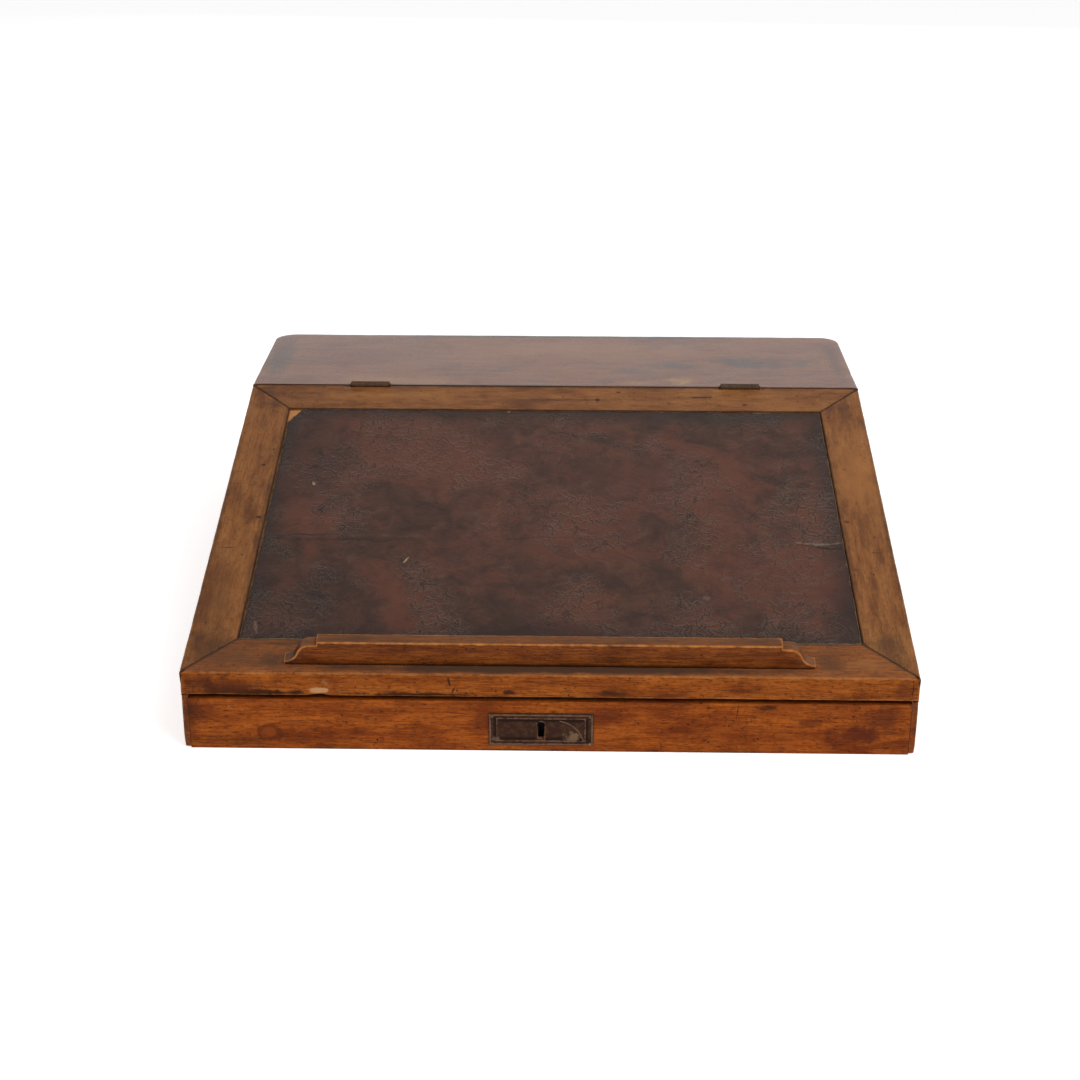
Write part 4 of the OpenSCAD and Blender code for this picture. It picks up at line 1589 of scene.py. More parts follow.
@dataclass
class Case:
    """Front, sides, back and deck."""

    def boards(self, layout: Layout) -> list[WornBoard]:
        """The worn boards of the case.

        Args:
            layout: Not used.

        Returns:
            The boards.
        """
        front = WoodFinish(
            "amber_front", Grain.ACROSS, **AMBER, gloss=0.40, shine=0.05, raw=Raw.INSIDE, clouding=0.42,
            dings=0.85, rub=0.4, grime=0.5, seam_dirt=0.55,
            marks=(
                # Painted shade: the keyhole's wooden walls are blacked out. Below them is a pale painted
                # patch of light, with some wear, on the slot's foot.
                Mark((-4.5, -204, 15), (5, 9, 9), (0.003, 0.0015, 0.001), 1.0, soft=0.3, ragged=0.1),
                Mark((-4.5, -207, 8.2), (3, 8, 2.8), (0.40, 0.21, 0.13), 0.9, soft=0.4, ragged=0.4, grit=400),
                Mark(
                    (-164, -210, 10.5), (9, 8, 6.3), (0.075, 0.014, 0.003), 0.7, soft=0.22, ragged=0.5,
                    grit=180,
                ),
                Mark(
                    (-164, -210, 11), (6, 8, 4.2), (0.25, 0.055, 0.006), 0.5, soft=0.5, ragged=0.8, grit=180
                ),
                Mark((-185, -210, 5), (26, 8, 6), DIRT_AND_SHADE, 0.45, soft=0.9, ragged=0.9),
                Mark((-38, -210, 21), (14, 8, 12), (0.080, 0.014, 0.004), 0.6, soft=0.8, ragged=0.7),
                Mark((34, -210, 24), (16, 8, 8), (0.075, 0.012, 0.004), 0.55, soft=0.8, ragged=0.8),
                Mark((178, -210, 12), (22, 8, 7.5), (0.060, 0.010, 0.004), 0.75, soft=0.7, ragged=0.9),
                Mark((153, -210, 21), (9, 8, 5), (0.060, 0.010, 0.004), 0.6, soft=0.7, ragged=0.9, grit=200),
                Mark((127, -210, 30), (9, 8, 2.2), DIRT_AND_SHADE, 0.7, soft=0.6, ragged=0.9, grit=200),
                Mark((-205, -210, 24), (12, 8, 10), (0.060, 0.014, 0.005), 0.6, soft=0.8, ragged=0.8),
                Mark((196, -210, 22), (18, 8, 14), (0.060, 0.012, 0.005), 0.65, soft=0.8, ragged=0.9),
                Mark((-211, -210, 17), (7, 8, 22), DIRT_AND_SHADE, 0.45, soft=0.9, ragged=0.7),
                Mark((110, -210, 28), (0.35, 8, 7), DIRT_AND_SHADE, 0.8, turn=(0, 6, 0), soft=0.7, ragged=0.2),
                Mark((66, -210, 4), (0.35, 8, 5), DIRT_AND_SHADE, 0.7, turn=(0, -5, 0), soft=0.7, ragged=0.2),
                Mark((0, -210, 0), (225, 8, 1.6), DIRT_AND_SHADE, 0.6, soft=0.9, ragged=0.8),
            ),
        )
        side = WoodFinish(
            "amber_side", Grain.BACK, **AMBER, gloss=0.42, shine=0.1, raw=Raw.INSIDE, clouding=0.6, dings=0.7,
            rub=0.4, grime=0.5, seam_dirt=0.55,
            marks=(
                Mark((0, 40, 30), (240, 60, 22), (0.09, 0.02, 0.005), 0.35, soft=0.9, ragged=0.9),
                Mark((0, 150, 70), (240, 30, 30), (0.08, 0.02, 0.005), 0.4, soft=0.9, ragged=0.9),
                Mark((0, 0, 0), (240, 230, 2.2), DIRT_AND_SHADE, 0.6, soft=0.9, ragged=0.8),
                Mark((-214, -208, 14), (6, 10, 30), DIRT_AND_SHADE, 0.65, soft=0.8, ragged=0.7),
                Mark((214, -208, 28), (6, 10, 18), DIRT_AND_SHADE, 0.5, soft=0.8, ragged=0.7),
            ),
        )
        back = WoodFinish(
            "amber_back", Grain.ACROSS, **AMBER, gloss=0.46, shine=0.2, raw=Raw.INSIDE, clouding=0.7,
            marks=(
                Mark((-90, 210, 60), (60, 10, 30), (0.07, 0.016, 0.005), 0.45, soft=0.9, ragged=0.9),
                Mark((120, 210, 30), (50, 10, 20), (0.07, 0.016, 0.005), 0.45, soft=0.9, ragged=0.9),
                Mark((0, 210, 0), (225, 10, 2.4), DIRT_AND_SHADE, 0.6, soft=0.9, ragged=0.8),
            ),
        )
        deck = WoodFinish(
            "polished_deck", Grain.ACROSS, dark=(0.120, 0.029, 0.007), mid=(0.205, 0.058, 0.012),
            light=(0.270, 0.090, 0.020), rubbed=(0.24, 0.11, 0.05), gloss=0.27, shine=0.3, contrast=0.45,
            clouding=0.35, dings=0.25, grime=0.6, rub=0.3, relief=0.12,
            marks=(
                Mark(
                    (86, 134, 126), (36, 13, 6), (0.020, 0.018, 0.028), 0.75, soft=1.0, ragged=1.2, grit=60,
                    bend=6,
                ),
                Mark(
                    (148, 146, 126), (48, 17, 6), (0.020, 0.018, 0.028), 0.75, soft=1.0, ragged=1.2, grit=60,
                    bend=6,
                ),
                Mark(
                    (60, 122, 126), (26, 10, 6), (0.030, 0.024, 0.030), 0.5, soft=1.0, ragged=1.2, grit=60,
                    bend=6,
                ),
                Mark(
                    (-40, 125, 126), (30, 9, 6), (0.030, 0.018, 0.020), 0.5, soft=1.0, ragged=1.2, grit=60,
                    bend=6,
                ),
                Mark((90, 101, 126), (17, 11, 6), (0.50, 0.25, 0.06), 0.5, soft=1.0, ragged=0.9, bend=4),
                Mark((58, 96, 126), (18, 8, 6), (0.40, 0.18, 0.05), 0.4, soft=1.0, ragged=0.9, bend=4),
                Mark(
                    (-150, 150, 126), (44, 34, 6), (0.150, 0.022, 0.008), 0.7, soft=0.9, ragged=0.9, grit=40
                ),
                Mark((-120, 100, 126), (60, 14, 6), (0.36, 0.15, 0.045), 0.5, soft=0.9, ragged=0.9, grit=40),
                Mark((20, 170, 126), (120, 30, 6), (0.30, 0.11, 0.03), 0.45, soft=0.9, ragged=0.9, grit=30),
                Mark((0, 208, 126), (225, 6, 9), (0.020, 0.006, 0.004), 0.9, soft=0.7, ragged=0.4),
                Mark((-204, 150, 126), (14, 74, 9), (0.040, 0.008, 0.004), 0.75, soft=0.9, ragged=0.5),
                Mark((206, 150, 126), (7, 70, 9), (0.050, 0.012, 0.006), 0.6, soft=0.9, ragged=0.5),
                Mark((0, 90, 126), (225, 2.6, 6), (0.050, 0.016, 0.008), 0.6, soft=0.9, ragged=0.6),
            ),
        )
        return [
            WornBoard(
                "front_board", Body.CASE, "case_wood", front, arris=1.0 * MM, seam=0.12 * MM,
                pitch=(3.5, 12, 8), seed=1.0,
                dents=(
                    Dent((-70, -210, 33), 5, 0.5), Dent((160, -210, 33), 6, 0.6),
                    Dent((100, -210, 0), 7, 0.6), Dent((-196, -210, 0), 9, 0.5),
                    Dent((-213, -210, 0), 6, 0.4), Dent((213, -210, 0), 6, 0.4),
                ),
            ),
            WornBoard(
                "left_side", Body.CASE, "case_wood", side, arris=1.6 * MM, seam=0.12 * MM, pitch=(12, 5, 9),
                seed=2.0,
                dents=(
                    Dent((-215, -210, 0), 7, 0.4), Dent((-215, -210, 33), 4, 0.4),
                    Dent((-215, 60, 0), 8, 0.8), Dent((-215, -100, 60), 6, 0.5),
                ),
            ),
            WornBoard(
                "right_side", Body.CASE, "case_wood", side, arris=1.6 * MM, seam=0.12 * MM, pitch=(12, 5, 9),
                seed=3.0,
                dents=(
                    Dent((215, -210, 0), 7, 0.4), Dent((215, -210, 33), 4, 0.4), Dent((215, -20, 0), 8, 0.8),
                    Dent((215, 140, 0), 9, 0.8),
                ),
            ),
            WornBoard("back_board", Body.CASE, "case_wood", back, pitch=(6, 12, 12), seed=4.0),
            WornBoard(
                "deck_board", Body.CASE, "deck_wood", deck, arris=1.3 * MM, pitch=(5, 7, 8), sag=0.14 * MM,
                seed=5.0, dents=(Dent((215, 120, 126), 8, 0.4),),
            ),
        ]


@dataclass
class Lid:
    """The mitred frame and the paper ledge."""

    def boards(self, layout: Layout) -> list[WornBoard]:
        """The worn boards of the lid.

        Args:
            layout: Where the lid lies.

        Returns:
            The boards.
        """
        at = layout.lid_point

        def spot(x: float, up: float, out: float = 0.0) -> Triple:
            """A point on the lid, in millimetres."""
            return tuple(c / MM for c in at(x, up, out))

        tilt = (math.degrees(layout.slope), 0.0, 0.0)
        front = WoodFinish(
            "lid_front_wood", Grain.ACROSS, dark=(0.105, 0.021, 0.003), mid=(0.250, 0.061, 0.007),
            light=(0.36, 0.104, 0.013), rubbed=(0.46, 0.18, 0.05), gloss=0.42, shine=0.05, raw=Raw.BELOW,
            clouding=0.55, dings=0.9, rub=0.5, top_sheen=0.12,
            marks=(
                Mark(
                    (-134, -210, 38.5), (6.2, 5, 2.4), (0.42, 0.215, 0.095), 0.9, soft=0.35, ragged=0.6,
                    grit=260,
                ),
                Mark((-166, -210, 37), (33, 5, 3.0), DIRT_AND_SHADE, 0.95, soft=0.6, ragged=0.8),
                Mark((-192, -210, 38), (26, 5, 5.0), (0.040, 0.010, 0.004), 0.75, soft=0.9, ragged=0.8),
                Mark((-185, -210, 41), (36, 5, 8), (0.060, 0.014, 0.004), 0.7, soft=0.8, ragged=0.9),
                Mark((-130, -210, 44), (3, 5, 2.6), (0.40, 0.19, 0.08), 0.3, soft=0.9, ragged=1.2, grit=400),
                Mark((-72, -210, 36.5), (62, 5, 2.2), DIRT_AND_SHADE, 0.9, soft=0.8, ragged=0.9),
                Mark((-23, -210, 38.5), (4, 5, 2.4), DIRT_AND_SHADE, 0.85, soft=0.6, ragged=0.9, grit=250),
                Mark(
                    (-58, -210, 45), (0.9, 5, 4.5), DIRT_AND_SHADE, 0.85, turn=(0, -14, 0), soft=0.7, ragged=0.8,
                    grit=300,
                ),
                Mark(
                    (-55.5, -210, 40), (0.9, 5, 3.5), DIRT_AND_SHADE, 0.85, turn=(0, 26, 0), soft=0.7, ragged=0.8,
                    grit=300,
                ),
                Mark((38, -210, 38), (20, 5, 3.5), DIRT_AND_SHADE, 0.7, soft=0.9, ragged=0.9),
                Mark((-205, -210, 42), (14, 5, 9), (0.05, 0.012, 0.004), 0.7, soft=0.8, ragged=0.8),
                Mark((206, -210, 42), (9, 5, 9), (0.07, 0.016, 0.005), 0.6, soft=0.8, ragged=0.8),
                Mark((210.8, -210, 43), (0.35, 5, 8), DIRT_AND_SHADE, 0.9, soft=0.6, ragged=0.2),
                # Near-black band on the rail along the ledge's foot: dirt, and painted shade under the ledge.
                Mark(
                    spot(0, 5.2), (170, 4.6, 3), (0.030, 0.008, 0.004), 0.95, turn=tilt, soft=0.6, ragged=0.5,
                    grit=90,
                ),
                Mark(spot(-163, 10), (13, 9, 4), DIRT_AND_SHADE, 0.8, turn=tilt, soft=0.9, ragged=0.7),
                Mark(
                    spot(-188, 14), (34, 16, 4), (0.075, 0.022, 0.007), 0.55, turn=tilt, soft=1.0, ragged=0.8
                ),
                Mark(spot(163, 12), (12, 8, 4), DIRT_AND_SHADE, 0.6, turn=tilt, soft=1.0, ragged=0.8),
                Mark(spot(185, 12), (18, 8, 4), (0.42, 0.16, 0.04), 0.4, turn=tilt, soft=1.0, ragged=0.8),
                Mark(spot(-150, 26), (40, 3, 4), DIRT_AND_SHADE, 0.6, turn=tilt, soft=0.8, ragged=0.8),
            ),
        )
        rear = WoodFinish(
            "lid_rear_wood", Grain.ACROSS, **FRAME, gloss=0.46, shine=0.3, contrast=0.6, raw=Raw.BELOW,
            clouding=0.32, dings=0.9, seam_dirt=1.6,
            marks=(
                Mark(spot(0, 306), (215, 2.5, 4), DIRT_AND_SHADE, 0.5, turn=tilt, soft=0.9, ragged=0.7),
                Mark(spot(-202, 294), (12, 12, 4), (0.05, 0.02, 0.01), 0.6, turn=tilt, soft=0.9, ragged=0.8),
                Mark(
                    spot(-110, 292), (90, 10, 4), (0.45, 0.18, 0.045), 0.45, turn=tilt, soft=1.0, ragged=0.8
                ),
                Mark(spot(10, 290), (60, 2, 4), (0.07, 0.02, 0.01), 0.5, turn=tilt, soft=0.8, ragged=0.8),
                Mark(spot(30, 290), (2.2, 2.6, 3), DIRT_AND_SHADE, 0.9, turn=tilt, soft=0.5, ragged=0.8, grit=400),
                Mark(spot(45, 300), (1.6, 1.4, 3), DIRT_AND_SHADE, 0.8, turn=tilt, soft=0.5, ragged=0.8, grit=400),
                Mark(spot(103, 294), (12, 1.6, 3), DIRT_AND_SHADE, 0.8, turn=tilt, soft=0.6, ragged=0.9, grit=300),
                Mark(spot(133, 285), (3, 1.8, 3), DIRT_AND_SHADE, 0.7, turn=tilt, soft=0.6, ragged=0.9, grit=300),
            ),
        )

        def stile(name: str, side: int) -> WoodFinish:
            """Describe one stile's finish.

            Args:
                name: The finish's name.
                side: -1 for the left and 1 for the right.

            Returns:
                The finish.
            """
            return WoodFinish(
                name, Grain.UP, **FRAME, gloss=0.46, shine=0.3, contrast=0.6, raw=Raw.BELOW, clouding=0.32,
                dings=0.9, seam_dirt=1.6,
                marks=(
                    Mark(
                        spot(side * 200, 24), (18, 26, 4), (0.045, 0.018, 0.009), 0.6, turn=tilt, soft=0.9,
                        ragged=0.8,
                    ),
                    Mark(spot(side * 214, 150), (3.5, 160, 6), DIRT_AND_SHADE, 0.5, turn=tilt, soft=0.9, ragged=0.8),
                    Mark(spot(side * 187, 150), (2.0, 140, 4), DIRT_AND_SHADE, 0.4, turn=tilt, soft=0.9, ragged=0.8),
                    Mark(
                        spot(side * 194, 208), (1.8, 1.8, 3), DIRT_AND_SHADE, 0.8, turn=tilt, soft=0.5, ragged=0.8,
                        grit=400,
                    ),
                    Mark(
                        spot(side * 189, 150), (2.2, 1.6, 3), DIRT_AND_SHADE, 0.8, turn=tilt, soft=0.5, ragged=0.8,
                        grit=400,
                    ),
                    Mark(
                        spot(side * 204, 118), (7, 0.8, 3), DIRT_AND_SHADE, 0.6, turn=tilt, soft=0.7, ragged=0.8,
                        grit=400,
                    ),
                    Mark(
                        spot(side * 199, 282), (14, 8, 3), (0.07, 0.02, 0.008), 0.6, turn=tilt, soft=0.9,
                        ragged=0.8,
                    ),
                    # Painted light: the right stile is painted lighter and the left darker, as if the lid
                    # were lit more from the right.
                    Mark(
                        spot(200, 200), (26, 90, 6), (0.46, 0.185, 0.047), 0.45, turn=tilt, soft=1.0,
                        ragged=0.8, grit=50,
                    ),
                    Mark(
                        spot(-206, 70), (20, 70, 6), (0.095, 0.030, 0.009), 0.55, turn=tilt, soft=1.0,
                        ragged=0.8, grit=50,
                    ),
                ),
            )

        ledge = WoodFinish(
            "ledge_wood", Grain.ACROSS, dark=(0.070, 0.015, 0.003), mid=(0.170, 0.043, 0.007),
            light=(0.26, 0.075, 0.012), rubbed=(0.52, 0.19, 0.05), gloss=0.36, shine=0.05, clouding=0.4,
            dings=0.9, rub=0.8, top_sheen=0.14,
            marks=(
                # Darker foot of the ledge's front face: dirt, and painted shade where it meets the rail.
                Mark(spot(0, 7.5, 1), (165, 5, 2.2), DIRT_AND_SHADE, 0.7, turn=tilt, soft=0.9, ragged=0.5),
                # Painted light on the scroll ends: the left end is painted darker as shade, and the right end
                # paler as a sheen.
                Mark(
                    spot(-150, 12, 6), (11, 9, 12), (0.045, 0.020, 0.012), 0.75, turn=tilt, soft=0.8,
                    ragged=0.8,
                ),
                Mark(
                    spot(150, 12, 8), (11, 9, 12), (0.20, 0.085, 0.045), 0.45, turn=tilt, soft=0.8, ragged=0.8
                ),
                Mark(
                    spot(40, 7.5, 6), (28, 5, 4), (0.045, 0.012, 0.004), 0.6, turn=tilt, soft=0.8, ragged=0.9
                ),
            ),
        )
        return [
            WornBoard(
                "lid_front_rail", Body.LID, "lid_wood", front, sloped=True, arris=1.4 * MM, seam=0.35 * MM,
                rub=0.7 * MM, pitch=(3.5, 8, 8), seed=6.0,
                dents=(
                    Dent((-134, -210, 37), 8, 0.9), Dent((-90, -210, 50), 6, 0.5),
                    Dent((150, -210, 50), 6, 0.5), Dent((-213, -210, 47), 7, 1.0),
                    Dent((213, -210, 48), 6, 1.0),
                ),
            ),
            WornBoard(
                "lid_rear_rail", Body.LID, "lid_wood", rear, sloped=True, arris=0.8 * MM, seam=0.4 * MM,
                pitch=(5, 8, 8), seed=7.0,
            ),
            WornBoard(
                "lid_left_stile", Body.LID, "lid_wood", stile("lid_left_wood", -1), sloped=True,
                arris=1.5 * MM, seam=0.35 * MM, rub=0.7 * MM, pitch=(8, 4, 8), seed=8.0,
            ),
            WornBoard(
                "lid_right_stile", Body.LID, "lid_wood", stile("lid_right_wood", 1), sloped=True,
                arris=1.5 * MM, seam=0.35 * MM, rub=0.7 * MM, pitch=(8, 4, 8), seed=9.0,
            ),
            WornBoard(
                "book_ledge", Body.LID, "ledge_wood", ledge, sloped=True, arris=1.9 * MM, seam=0.2 * MM,
                rub=0.5 * MM, pitch=(3.0, 3, 5), seed=10.0,
                dents=(Dent((-100, -201, 66), 5, 0.5), Dent((40, -201, 66), 5, 0.4)),
            ),
        ]

    def leather(self, layout: Layout) -> WritingLeather:
        """The hide, with its scratches, bare spots and creases.

        Args:
            layout: Where the lid lies.

        Returns:
            The writing leather.
        """

        def spot(x: float, up: float) -> Triple:
            """A point on the hide, in millimetres."""
            return tuple(c / MM for c in layout.lid_point(x, up, -0.4))

        tilt = math.degrees(layout.slope)
        pale, dark = (0.42, 0.27, 0.12), (0.014, 0.007, 0.006)
        finish = LeatherFinish(
            "crazed_hide",
            marks=(
                Mark(
                    spot(-75, 215), (70, 40, 8), (0.135, 0.042, 0.020), 0.55, turn=(tilt, 0, 10), soft=1.0,
                    ragged=0.9, grit=40,
                ),
                Mark(
                    spot(60, 200), (70, 45, 8), (0.110, 0.036, 0.020), 0.45, turn=(tilt, 0, 0), soft=1.0,
                    ragged=0.9, grit=40,
                ),
                Mark(
                    spot(-20, 120), (90, 24, 8), (0.105, 0.038, 0.020), 0.40, turn=(tilt, 0, -5), soft=1.0,
                    ragged=0.9, grit=40,
                ),
                Mark(
                    spot(140, 95), (60, 45, 8), (0.125, 0.037, 0.020), 0.50, turn=(tilt, 0, 0), soft=1.0,
                    ragged=0.9, grit=40,
                ),
                Mark(
                    spot(-158, 215), (34, 70, 8), dark, 0.55, turn=(tilt, 0, 0), soft=1.0, ragged=0.9, grit=40
                ),
                Mark(
                    spot(-150, 70), (60, 70, 8), dark, 0.50, turn=(tilt, 0, 0), soft=1.0, ragged=0.9, grit=40
                ),
                Mark(
                    spot(130, 268), (70, 16, 8), (0.030, 0.021, 0.014), 0.65, turn=(tilt, 0, 0), soft=1.0,
                    ragged=0.9, grit=40,
                ),
                Mark(
                    spot(-10, 42), (60, 16, 8), dark, 0.45, turn=(tilt, 0, 0), soft=1.0, ragged=0.9, grit=40
                ),
                Mark(
                    spot(172, 55), (18, 34, 8), dark, 0.60, turn=(tilt, 0, 0), soft=1.0, ragged=0.9, grit=40
                ),
                Mark(
                    spot(-91, 107), (0.8, 4.6, 3), pale, 0.95, turn=(tilt, 0, -28), soft=0.5, ragged=0.6,
                    grit=500,
                ),
                Mark(
                    spot(-158, 188), (1.2, 3.0, 3), pale, 0.75, turn=(tilt, 0, 20), soft=0.6, ragged=1.1,
                    grit=600,
                ),
                # Lines along the raised creases: dark with dirt and painted shade beside them, with a pale
                # painted highlight on the right crease.
                Mark(
                    spot(-158, 132), (30, 1.0, 3), dark, 0.9, turn=(tilt, 0, 2), soft=0.7, ragged=0.8,
                    grit=300, bend=5,
                ),
                Mark(
                    spot(-110, 128), (60, 0.9, 3), dark, 0.6, turn=(tilt, 0, 1), soft=0.7, ragged=0.9,
                    grit=200, bend=6,
                ),
                Mark(
                    spot(0, 131), (60, 0.8, 3), dark, 0.45, turn=(tilt, 0, 0), soft=0.8, ragged=0.9, grit=200,
                    bend=6,
                ),
                Mark(
                    spot(168, 127), (28, 1.3, 3), (0.20, 0.15, 0.10), 0.75, turn=(tilt, 0, 3), soft=0.8,
                    ragged=1.3, grit=300, bend=5,
                ),
                Mark(
                    spot(176, 123.5), (26, 1.2, 3), dark, 0.85, turn=(tilt, 0, -2), soft=0.7, ragged=0.8,
                    grit=300, bend=5,
                ),
                Mark(
                    spot(-176, 42), (1.5, 7, 3), (0.20, 0.13, 0.08), 0.5, turn=(tilt, 0, 12), soft=0.6,
                    ragged=1.0, grit=500,
                ),
                Mark(
                    spot(95, 72), (3.5, 3, 3), (0.15, 0.10, 0.06), 0.6, turn=(tilt, 0, 12), soft=0.7,
                    ragged=1.2, grit=400,
                ),
                Mark(
                    spot(20, 135), (5, 1.4, 3), (0.15, 0.10, 0.06), 0.6, turn=(tilt, 0, -8), soft=0.7,
                    ragged=1.2, grit=400,
                ),
                Mark(
                    spot(-32, 276), (1.6, 2.6, 3), (0.36, 0.20, 0.09), 0.8, turn=(tilt, 0, 0), soft=0.5,
                    ragged=1.0, grit=500,
                ),
                Mark(
                    spot(74, 277), (3.2, 2.0, 3), (0.36, 0.20, 0.09), 0.8, turn=(tilt, 0, 0), soft=0.5,
                    ragged=1.0, grit=500,
                ),
                Mark(
                    spot(143, 276), (9, 1.6, 3), (0.34, 0.19, 0.08), 0.7, turn=(tilt, 0, 0), soft=0.6,
                    ragged=1.0, grit=400,
                ),
            ),
        )
        return WritingLeather(finish=finish)


@dataclass
class Fittings:
    """Finishes for the pieces that keep the model's own shape, and the screws, nails and pins."""

    round_by: float = 0.25 * MM

    def bare_corner(self, layout: Layout) -> Mark:
        """The clean wood that the leather's lost corner leaves bare, painted bright orange both as bare wood
        and as painted light against the shade of its recess.

        Args:
            layout: Where the lid lies.

        Returns:
            The mark.
        """
        return Mark(
            tuple(c / MM for c in layout.lid_point(-181, 272, -1)), (16, 26, 6), (0.62, 0.27, 0.09), 0.9,
            soft=0.4,
        )

    def finishes(self, layout: Layout) -> dict[str, WoodFinish]:
        """The wood finishes of the nodes that keep their shape.

        Args:
            layout: Where the lid lies.

        Returns:
            The finishes by node.
        """
        ink = (0.010, 0.012, 0.030)
        plain = dict(
            dark=(0.17, 0.085, 0.035), mid=(0.30, 0.165, 0.075), light=(0.40, 0.24, 0.115),
            rubbed=(0.48, 0.31, 0.16), gloss=0.66, shine=0.25, dings=0.5, clouding=0.4,
        )
        ink_spots = (
            Mark((-60, 0, 6), (16, 12, 5), ink, 0.8, soft=0.3, ragged=0.7),
            Mark((40, -80, 6), (7, 9, 5), ink, 0.7, soft=0.3, ragged=0.7),
            Mark((120, 60, 76), (9, 7, 6), ink, 0.85, soft=0.3, ragged=0.7),
            Mark((60, 55, 76), (4, 5, 6), ink, 0.8, soft=0.3, ragged=0.7),
        )
        return {
            "bottom_board": WoodFinish("plain_bottom", Grain.ACROSS, **plain, marks=ink_spots),
            "hinge_rail": WoodFinish("plain_rail", Grain.ACROSS, **plain),
            "pigeonhole_partitions": WoodFinish("plain_partitions", Grain.BACK, **plain),
            "tray_floor": WoodFinish("plain_tray", Grain.ACROSS, **plain, marks=ink_spots),
            "tray_lips": WoodFinish("plain_lips", Grain.ACROSS, **plain),
            "tray_cleats": WoodFinish("plain_cleats", Grain.BACK, **plain),
            "lid_panel": WoodFinish("plain_panel", Grain.ACROSS, **plain, marks=(self.bare_corner(layout),)),
        }

    def metals(self) -> dict[str, MetalFinish]:
        """The metal finishes by slot.

        Returns:
            The finishes.
        """
        return {
            "old_brass": MetalFinish(
                "old_brass", (0.42, 0.27, 0.10), (0.085, 0.052, 0.026), (0.12, 0.080, 0.036), cover=0.45,
                gloss=0.34,
                marks=(
                    # Painted shade: the lock case behind the keyhole is blacked out, as it sits in the dark
                    # of the closed box.
                    Mark(
                        (-4.5, -203.2, 13), (14, 4.7, 16), (0.002, 0.0015, 0.001), 1.0, soft=0.2, ragged=0.0
                    ),
                ),
            ),
            "hinge_brass": MetalFinish(
                "hinge_brass", (0.26, 0.14, 0.05), (0.090, 0.042, 0.018), (0.060, 0.028, 0.012), cover=0.8,
                gloss=0.45, grit=500.0,
            ),
            "iron": MetalFinish(
                "dull_iron", (0.20, 0.17, 0.14), (0.045, 0.032, 0.024), (0.070, 0.036, 0.018), cover=0.6,
                gloss=0.45,
            ),
        }

    def dress(self, piece: bpy.types.Object, material: bpy.types.Material) -> None:
        """Give one of the model's own nodes a finish and slightly rounded edges.

        Args:
            piece: The node's object.
            material: Its material.
        """
        piece.data.materials.clear()
        piece.data.materials.append(material)
        weld = piece.modifiers.new("joined", "WELD")
        weld.merge_threshold = WELD
        bevel = piece.modifiers.new("rounded", "BEVEL")
        bevel.width, bevel.segments = self.round_by, 2
        bevel.limit_method, bevel.angle_limit = "ANGLE", math.radians(40)
        bevel.use_clamp_overlap = True


# ------------------------------------------------------------------ studio


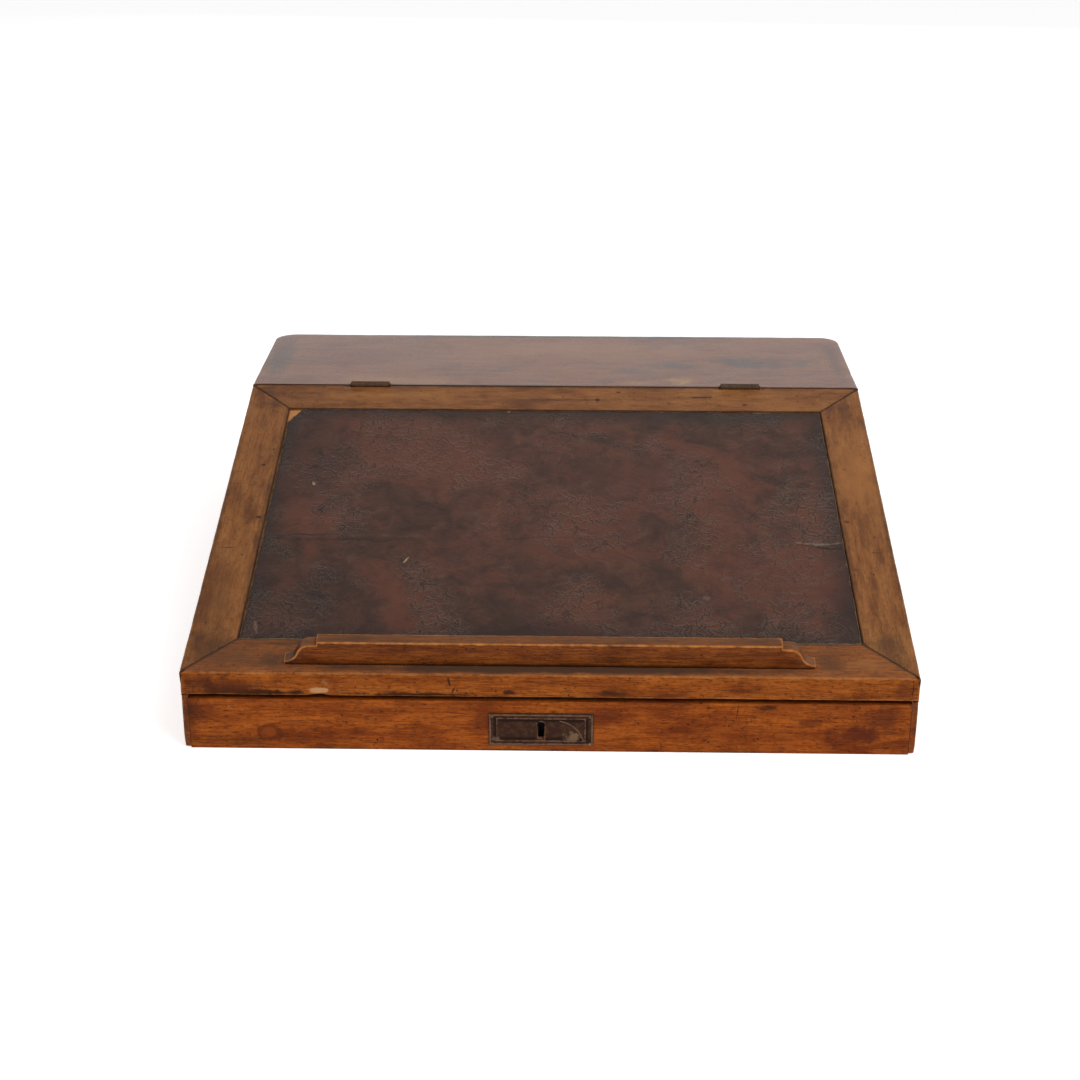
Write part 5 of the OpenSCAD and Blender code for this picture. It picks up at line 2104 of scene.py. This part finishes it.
@dataclass(frozen=True)
class Studio:
    """A pale floor, soft light and the camera."""

    eye: Triple = (0.01076, -1.16005, 0.54502)
    yaw: float = -0.0169
    pitch: float = 0.4071
    roll: float = 0.0017
    lens: float = 61.57

    def camera(self) -> bpy.types.Object:
        """Set up the camera.

        Returns:
            The camera, which is the scene's own.
        """
        level_share = math.cos(self.pitch)
        forward = Vector(
            (math.sin(self.yaw) * level_share, math.cos(self.yaw) * level_share, -math.sin(self.pitch))
        )
        level = Vector((math.cos(self.yaw), -math.sin(self.yaw), 0.0))
        upright = level.cross(forward)
        right = level * math.cos(self.roll) + upright * math.sin(self.roll)
        up = upright * math.cos(self.roll) - level * math.sin(self.roll)
        data = bpy.data.cameras.new("camera")
        data.lens, data.sensor_width, data.clip_start, data.clip_end = self.lens, 36.0, 0.02, 60.0
        camera = bpy.data.objects.new("camera", data)
        turn = Matrix((right, up, -forward)).transposed().to_4x4()
        camera.matrix_world = Matrix.Translation(self.eye) @ turn
        bpy.context.scene.collection.objects.link(camera)
        bpy.context.scene.camera = camera
        return camera

    def floor(self) -> bpy.types.Object:
        """Lay the floor.

        Returns:
            The floor, which isn't part of the object.
        """
        mesh = bpy.data.meshes.new("floor")
        size = 30.0
        mesh.from_pydata(
            [(-size, -size, -0.0003), (size, -size, -0.0003), (size, size, -0.0003), (-size, size, -0.0003)],
            [], [(0, 1, 2, 3)],
        )
        bench = Bench.for_material("pale_floor")
        paper = dict(Base_Color=(0.9, 0.9, 0.9), Roughness=0.9, Specular_IOR_Level=0.0)
        mesh.materials.append(bench.finish(**paper, Emission_Color=(1.0, 1.0, 1.0), Emission_Strength=0.62))
        floor = new_piece("floor", mesh)
        return floor

    def light(self) -> None:
        """Hang the lights."""
        world = bpy.data.worlds.new("room")
        world.use_nodes = True
        bench = Bench(world.node_tree)
        height = bench.split(bench.add("ShaderNodeTexCoord", out="Generated"))[2]
        stops = [
            (place, (grey,) * 3) for place, grey in ((0.0, 1.02), (0.20, 1.02), (0.33, 0.44), (0.80, 0.25))
        ]
        colour = bench.add("ShaderNodeValToRGB", {"stops": stops}, {0: height})
        glow = bench.add("ShaderNodeBackground", sockets={"Color": colour, "Strength": 1.0})
        bench.node("ShaderNodeOutputWorld", sockets={"Surface": glow})
        bpy.context.scene.world = world
        self._panel("key", (0.9, -0.9, 1.7), (0.0, 0.0, 0.06), 1.1, 19.0)
        self._panel("fill", (-1.3, -1.3, 0.9), (0.0, 0.0, 0.05), 1.2, 5.0)
        self._panel("back", (0.2, 2.4, 1.15), (0.0, 0.1, 0.1), 2.2, 6.5)
        bpy.context.scene.view_settings.view_transform = "Standard"

    def _panel(self, name: str, at: Triple, to: Triple, size: float, watts: float) -> None:
        """Hang one soft panel light.

        Args:
            name: Its name.
            at: Where it hangs.
            to: What it points at.
            size: The length of its side.
            watts: Its power.
        """
        data = bpy.data.lights.new(name, "AREA")
        data.shape, data.size, data.energy = "SQUARE", size, watts
        lamp = bpy.data.objects.new(name, data)
        lamp.location = at
        lamp.rotation_euler = (Vector(to) - Vector(at)).to_track_quat("-Z", "Y").to_euler()
        lamp.visible_camera = False
        bpy.context.scene.collection.objects.link(lamp)


def main() -> None:
    """Build every sub-assembly in order and report its pieces."""
    logging.basicConfig(level=logging.INFO, format="%(name)s: %(message)s")
    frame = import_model()
    layout = Layout.from_frame(frame)
    studio = Studio()
    studio.camera()
    studio.floor()
    studio.light()
    daylight = Daylight(
        {n: o for n, o in layout.nodes.items() if not n.endswith(("nails", "pins", "screws"))}
    )
    case, lid, fittings = Case(), Lid(), Fittings()
    for board in case.boards(layout) + lid.boards(layout):
        piece = board.make(layout, daylight)
        LOG.info(
            "%s: %d faces, %d arrises, %d seams", piece.name, len(piece.data.polygons), len(board.arrises),
            len(board.seams),
        )
    for made in (lid.leather(layout).make(layout), Escutcheon().make(layout)):
        LOG.info("%s: %d faces", made.name, len(made.data.polygons))
    metals = {slot: finish.material(layout) for slot, finish in fittings.metals().items()}
    screws = [
        Screws("lock_screws", Body.CASE, (0, 1, 0), 7.5 * MM, seed=3),
        Screws("ledge_screws", Body.LID, (0, 0, -1), 24.5 * MM, seed=4, in_lid=True),
        Screws("link_screws", Body.LID, (0, 0, -1), 10 * MM, seed=5, in_lid=True),
        Screws("hinge_screws_deck", Body.CASE, (0, -1, 0), 10 * MM, seed=6, in_lid=True),
        Screws("hinge_screws_lid", Body.LID, (0, 1, 0), 10 * MM, seed=7, in_lid=True),
    ]
    for fastener in screws:
        piece = fastener.make(layout, metals["iron"])
        LOG.info("%s: %d faces", piece.name, len(piece.data.polygons))
    replaced = {n for o in bpy.data.objects for n in o.get("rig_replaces", [])}
    plain = fittings.finishes(layout)
    slots = {s["node"]: s["material_slot"] for s in frame["record"]["subparts"]}
    for node in sorted(set(layout.nodes) - replaced):
        if node in plain:
            material = plain[node].material(layout)
        elif node.startswith("hinge_"):
            material = metals["hinge_brass"]
        else:
            material = metals["iron" if slots[node] == "iron" else "old_brass"]
        fittings.dress(layout.nodes[node], material)
        LOG.info("%s: dressed", node)


if __name__ == "__main__":
    main()
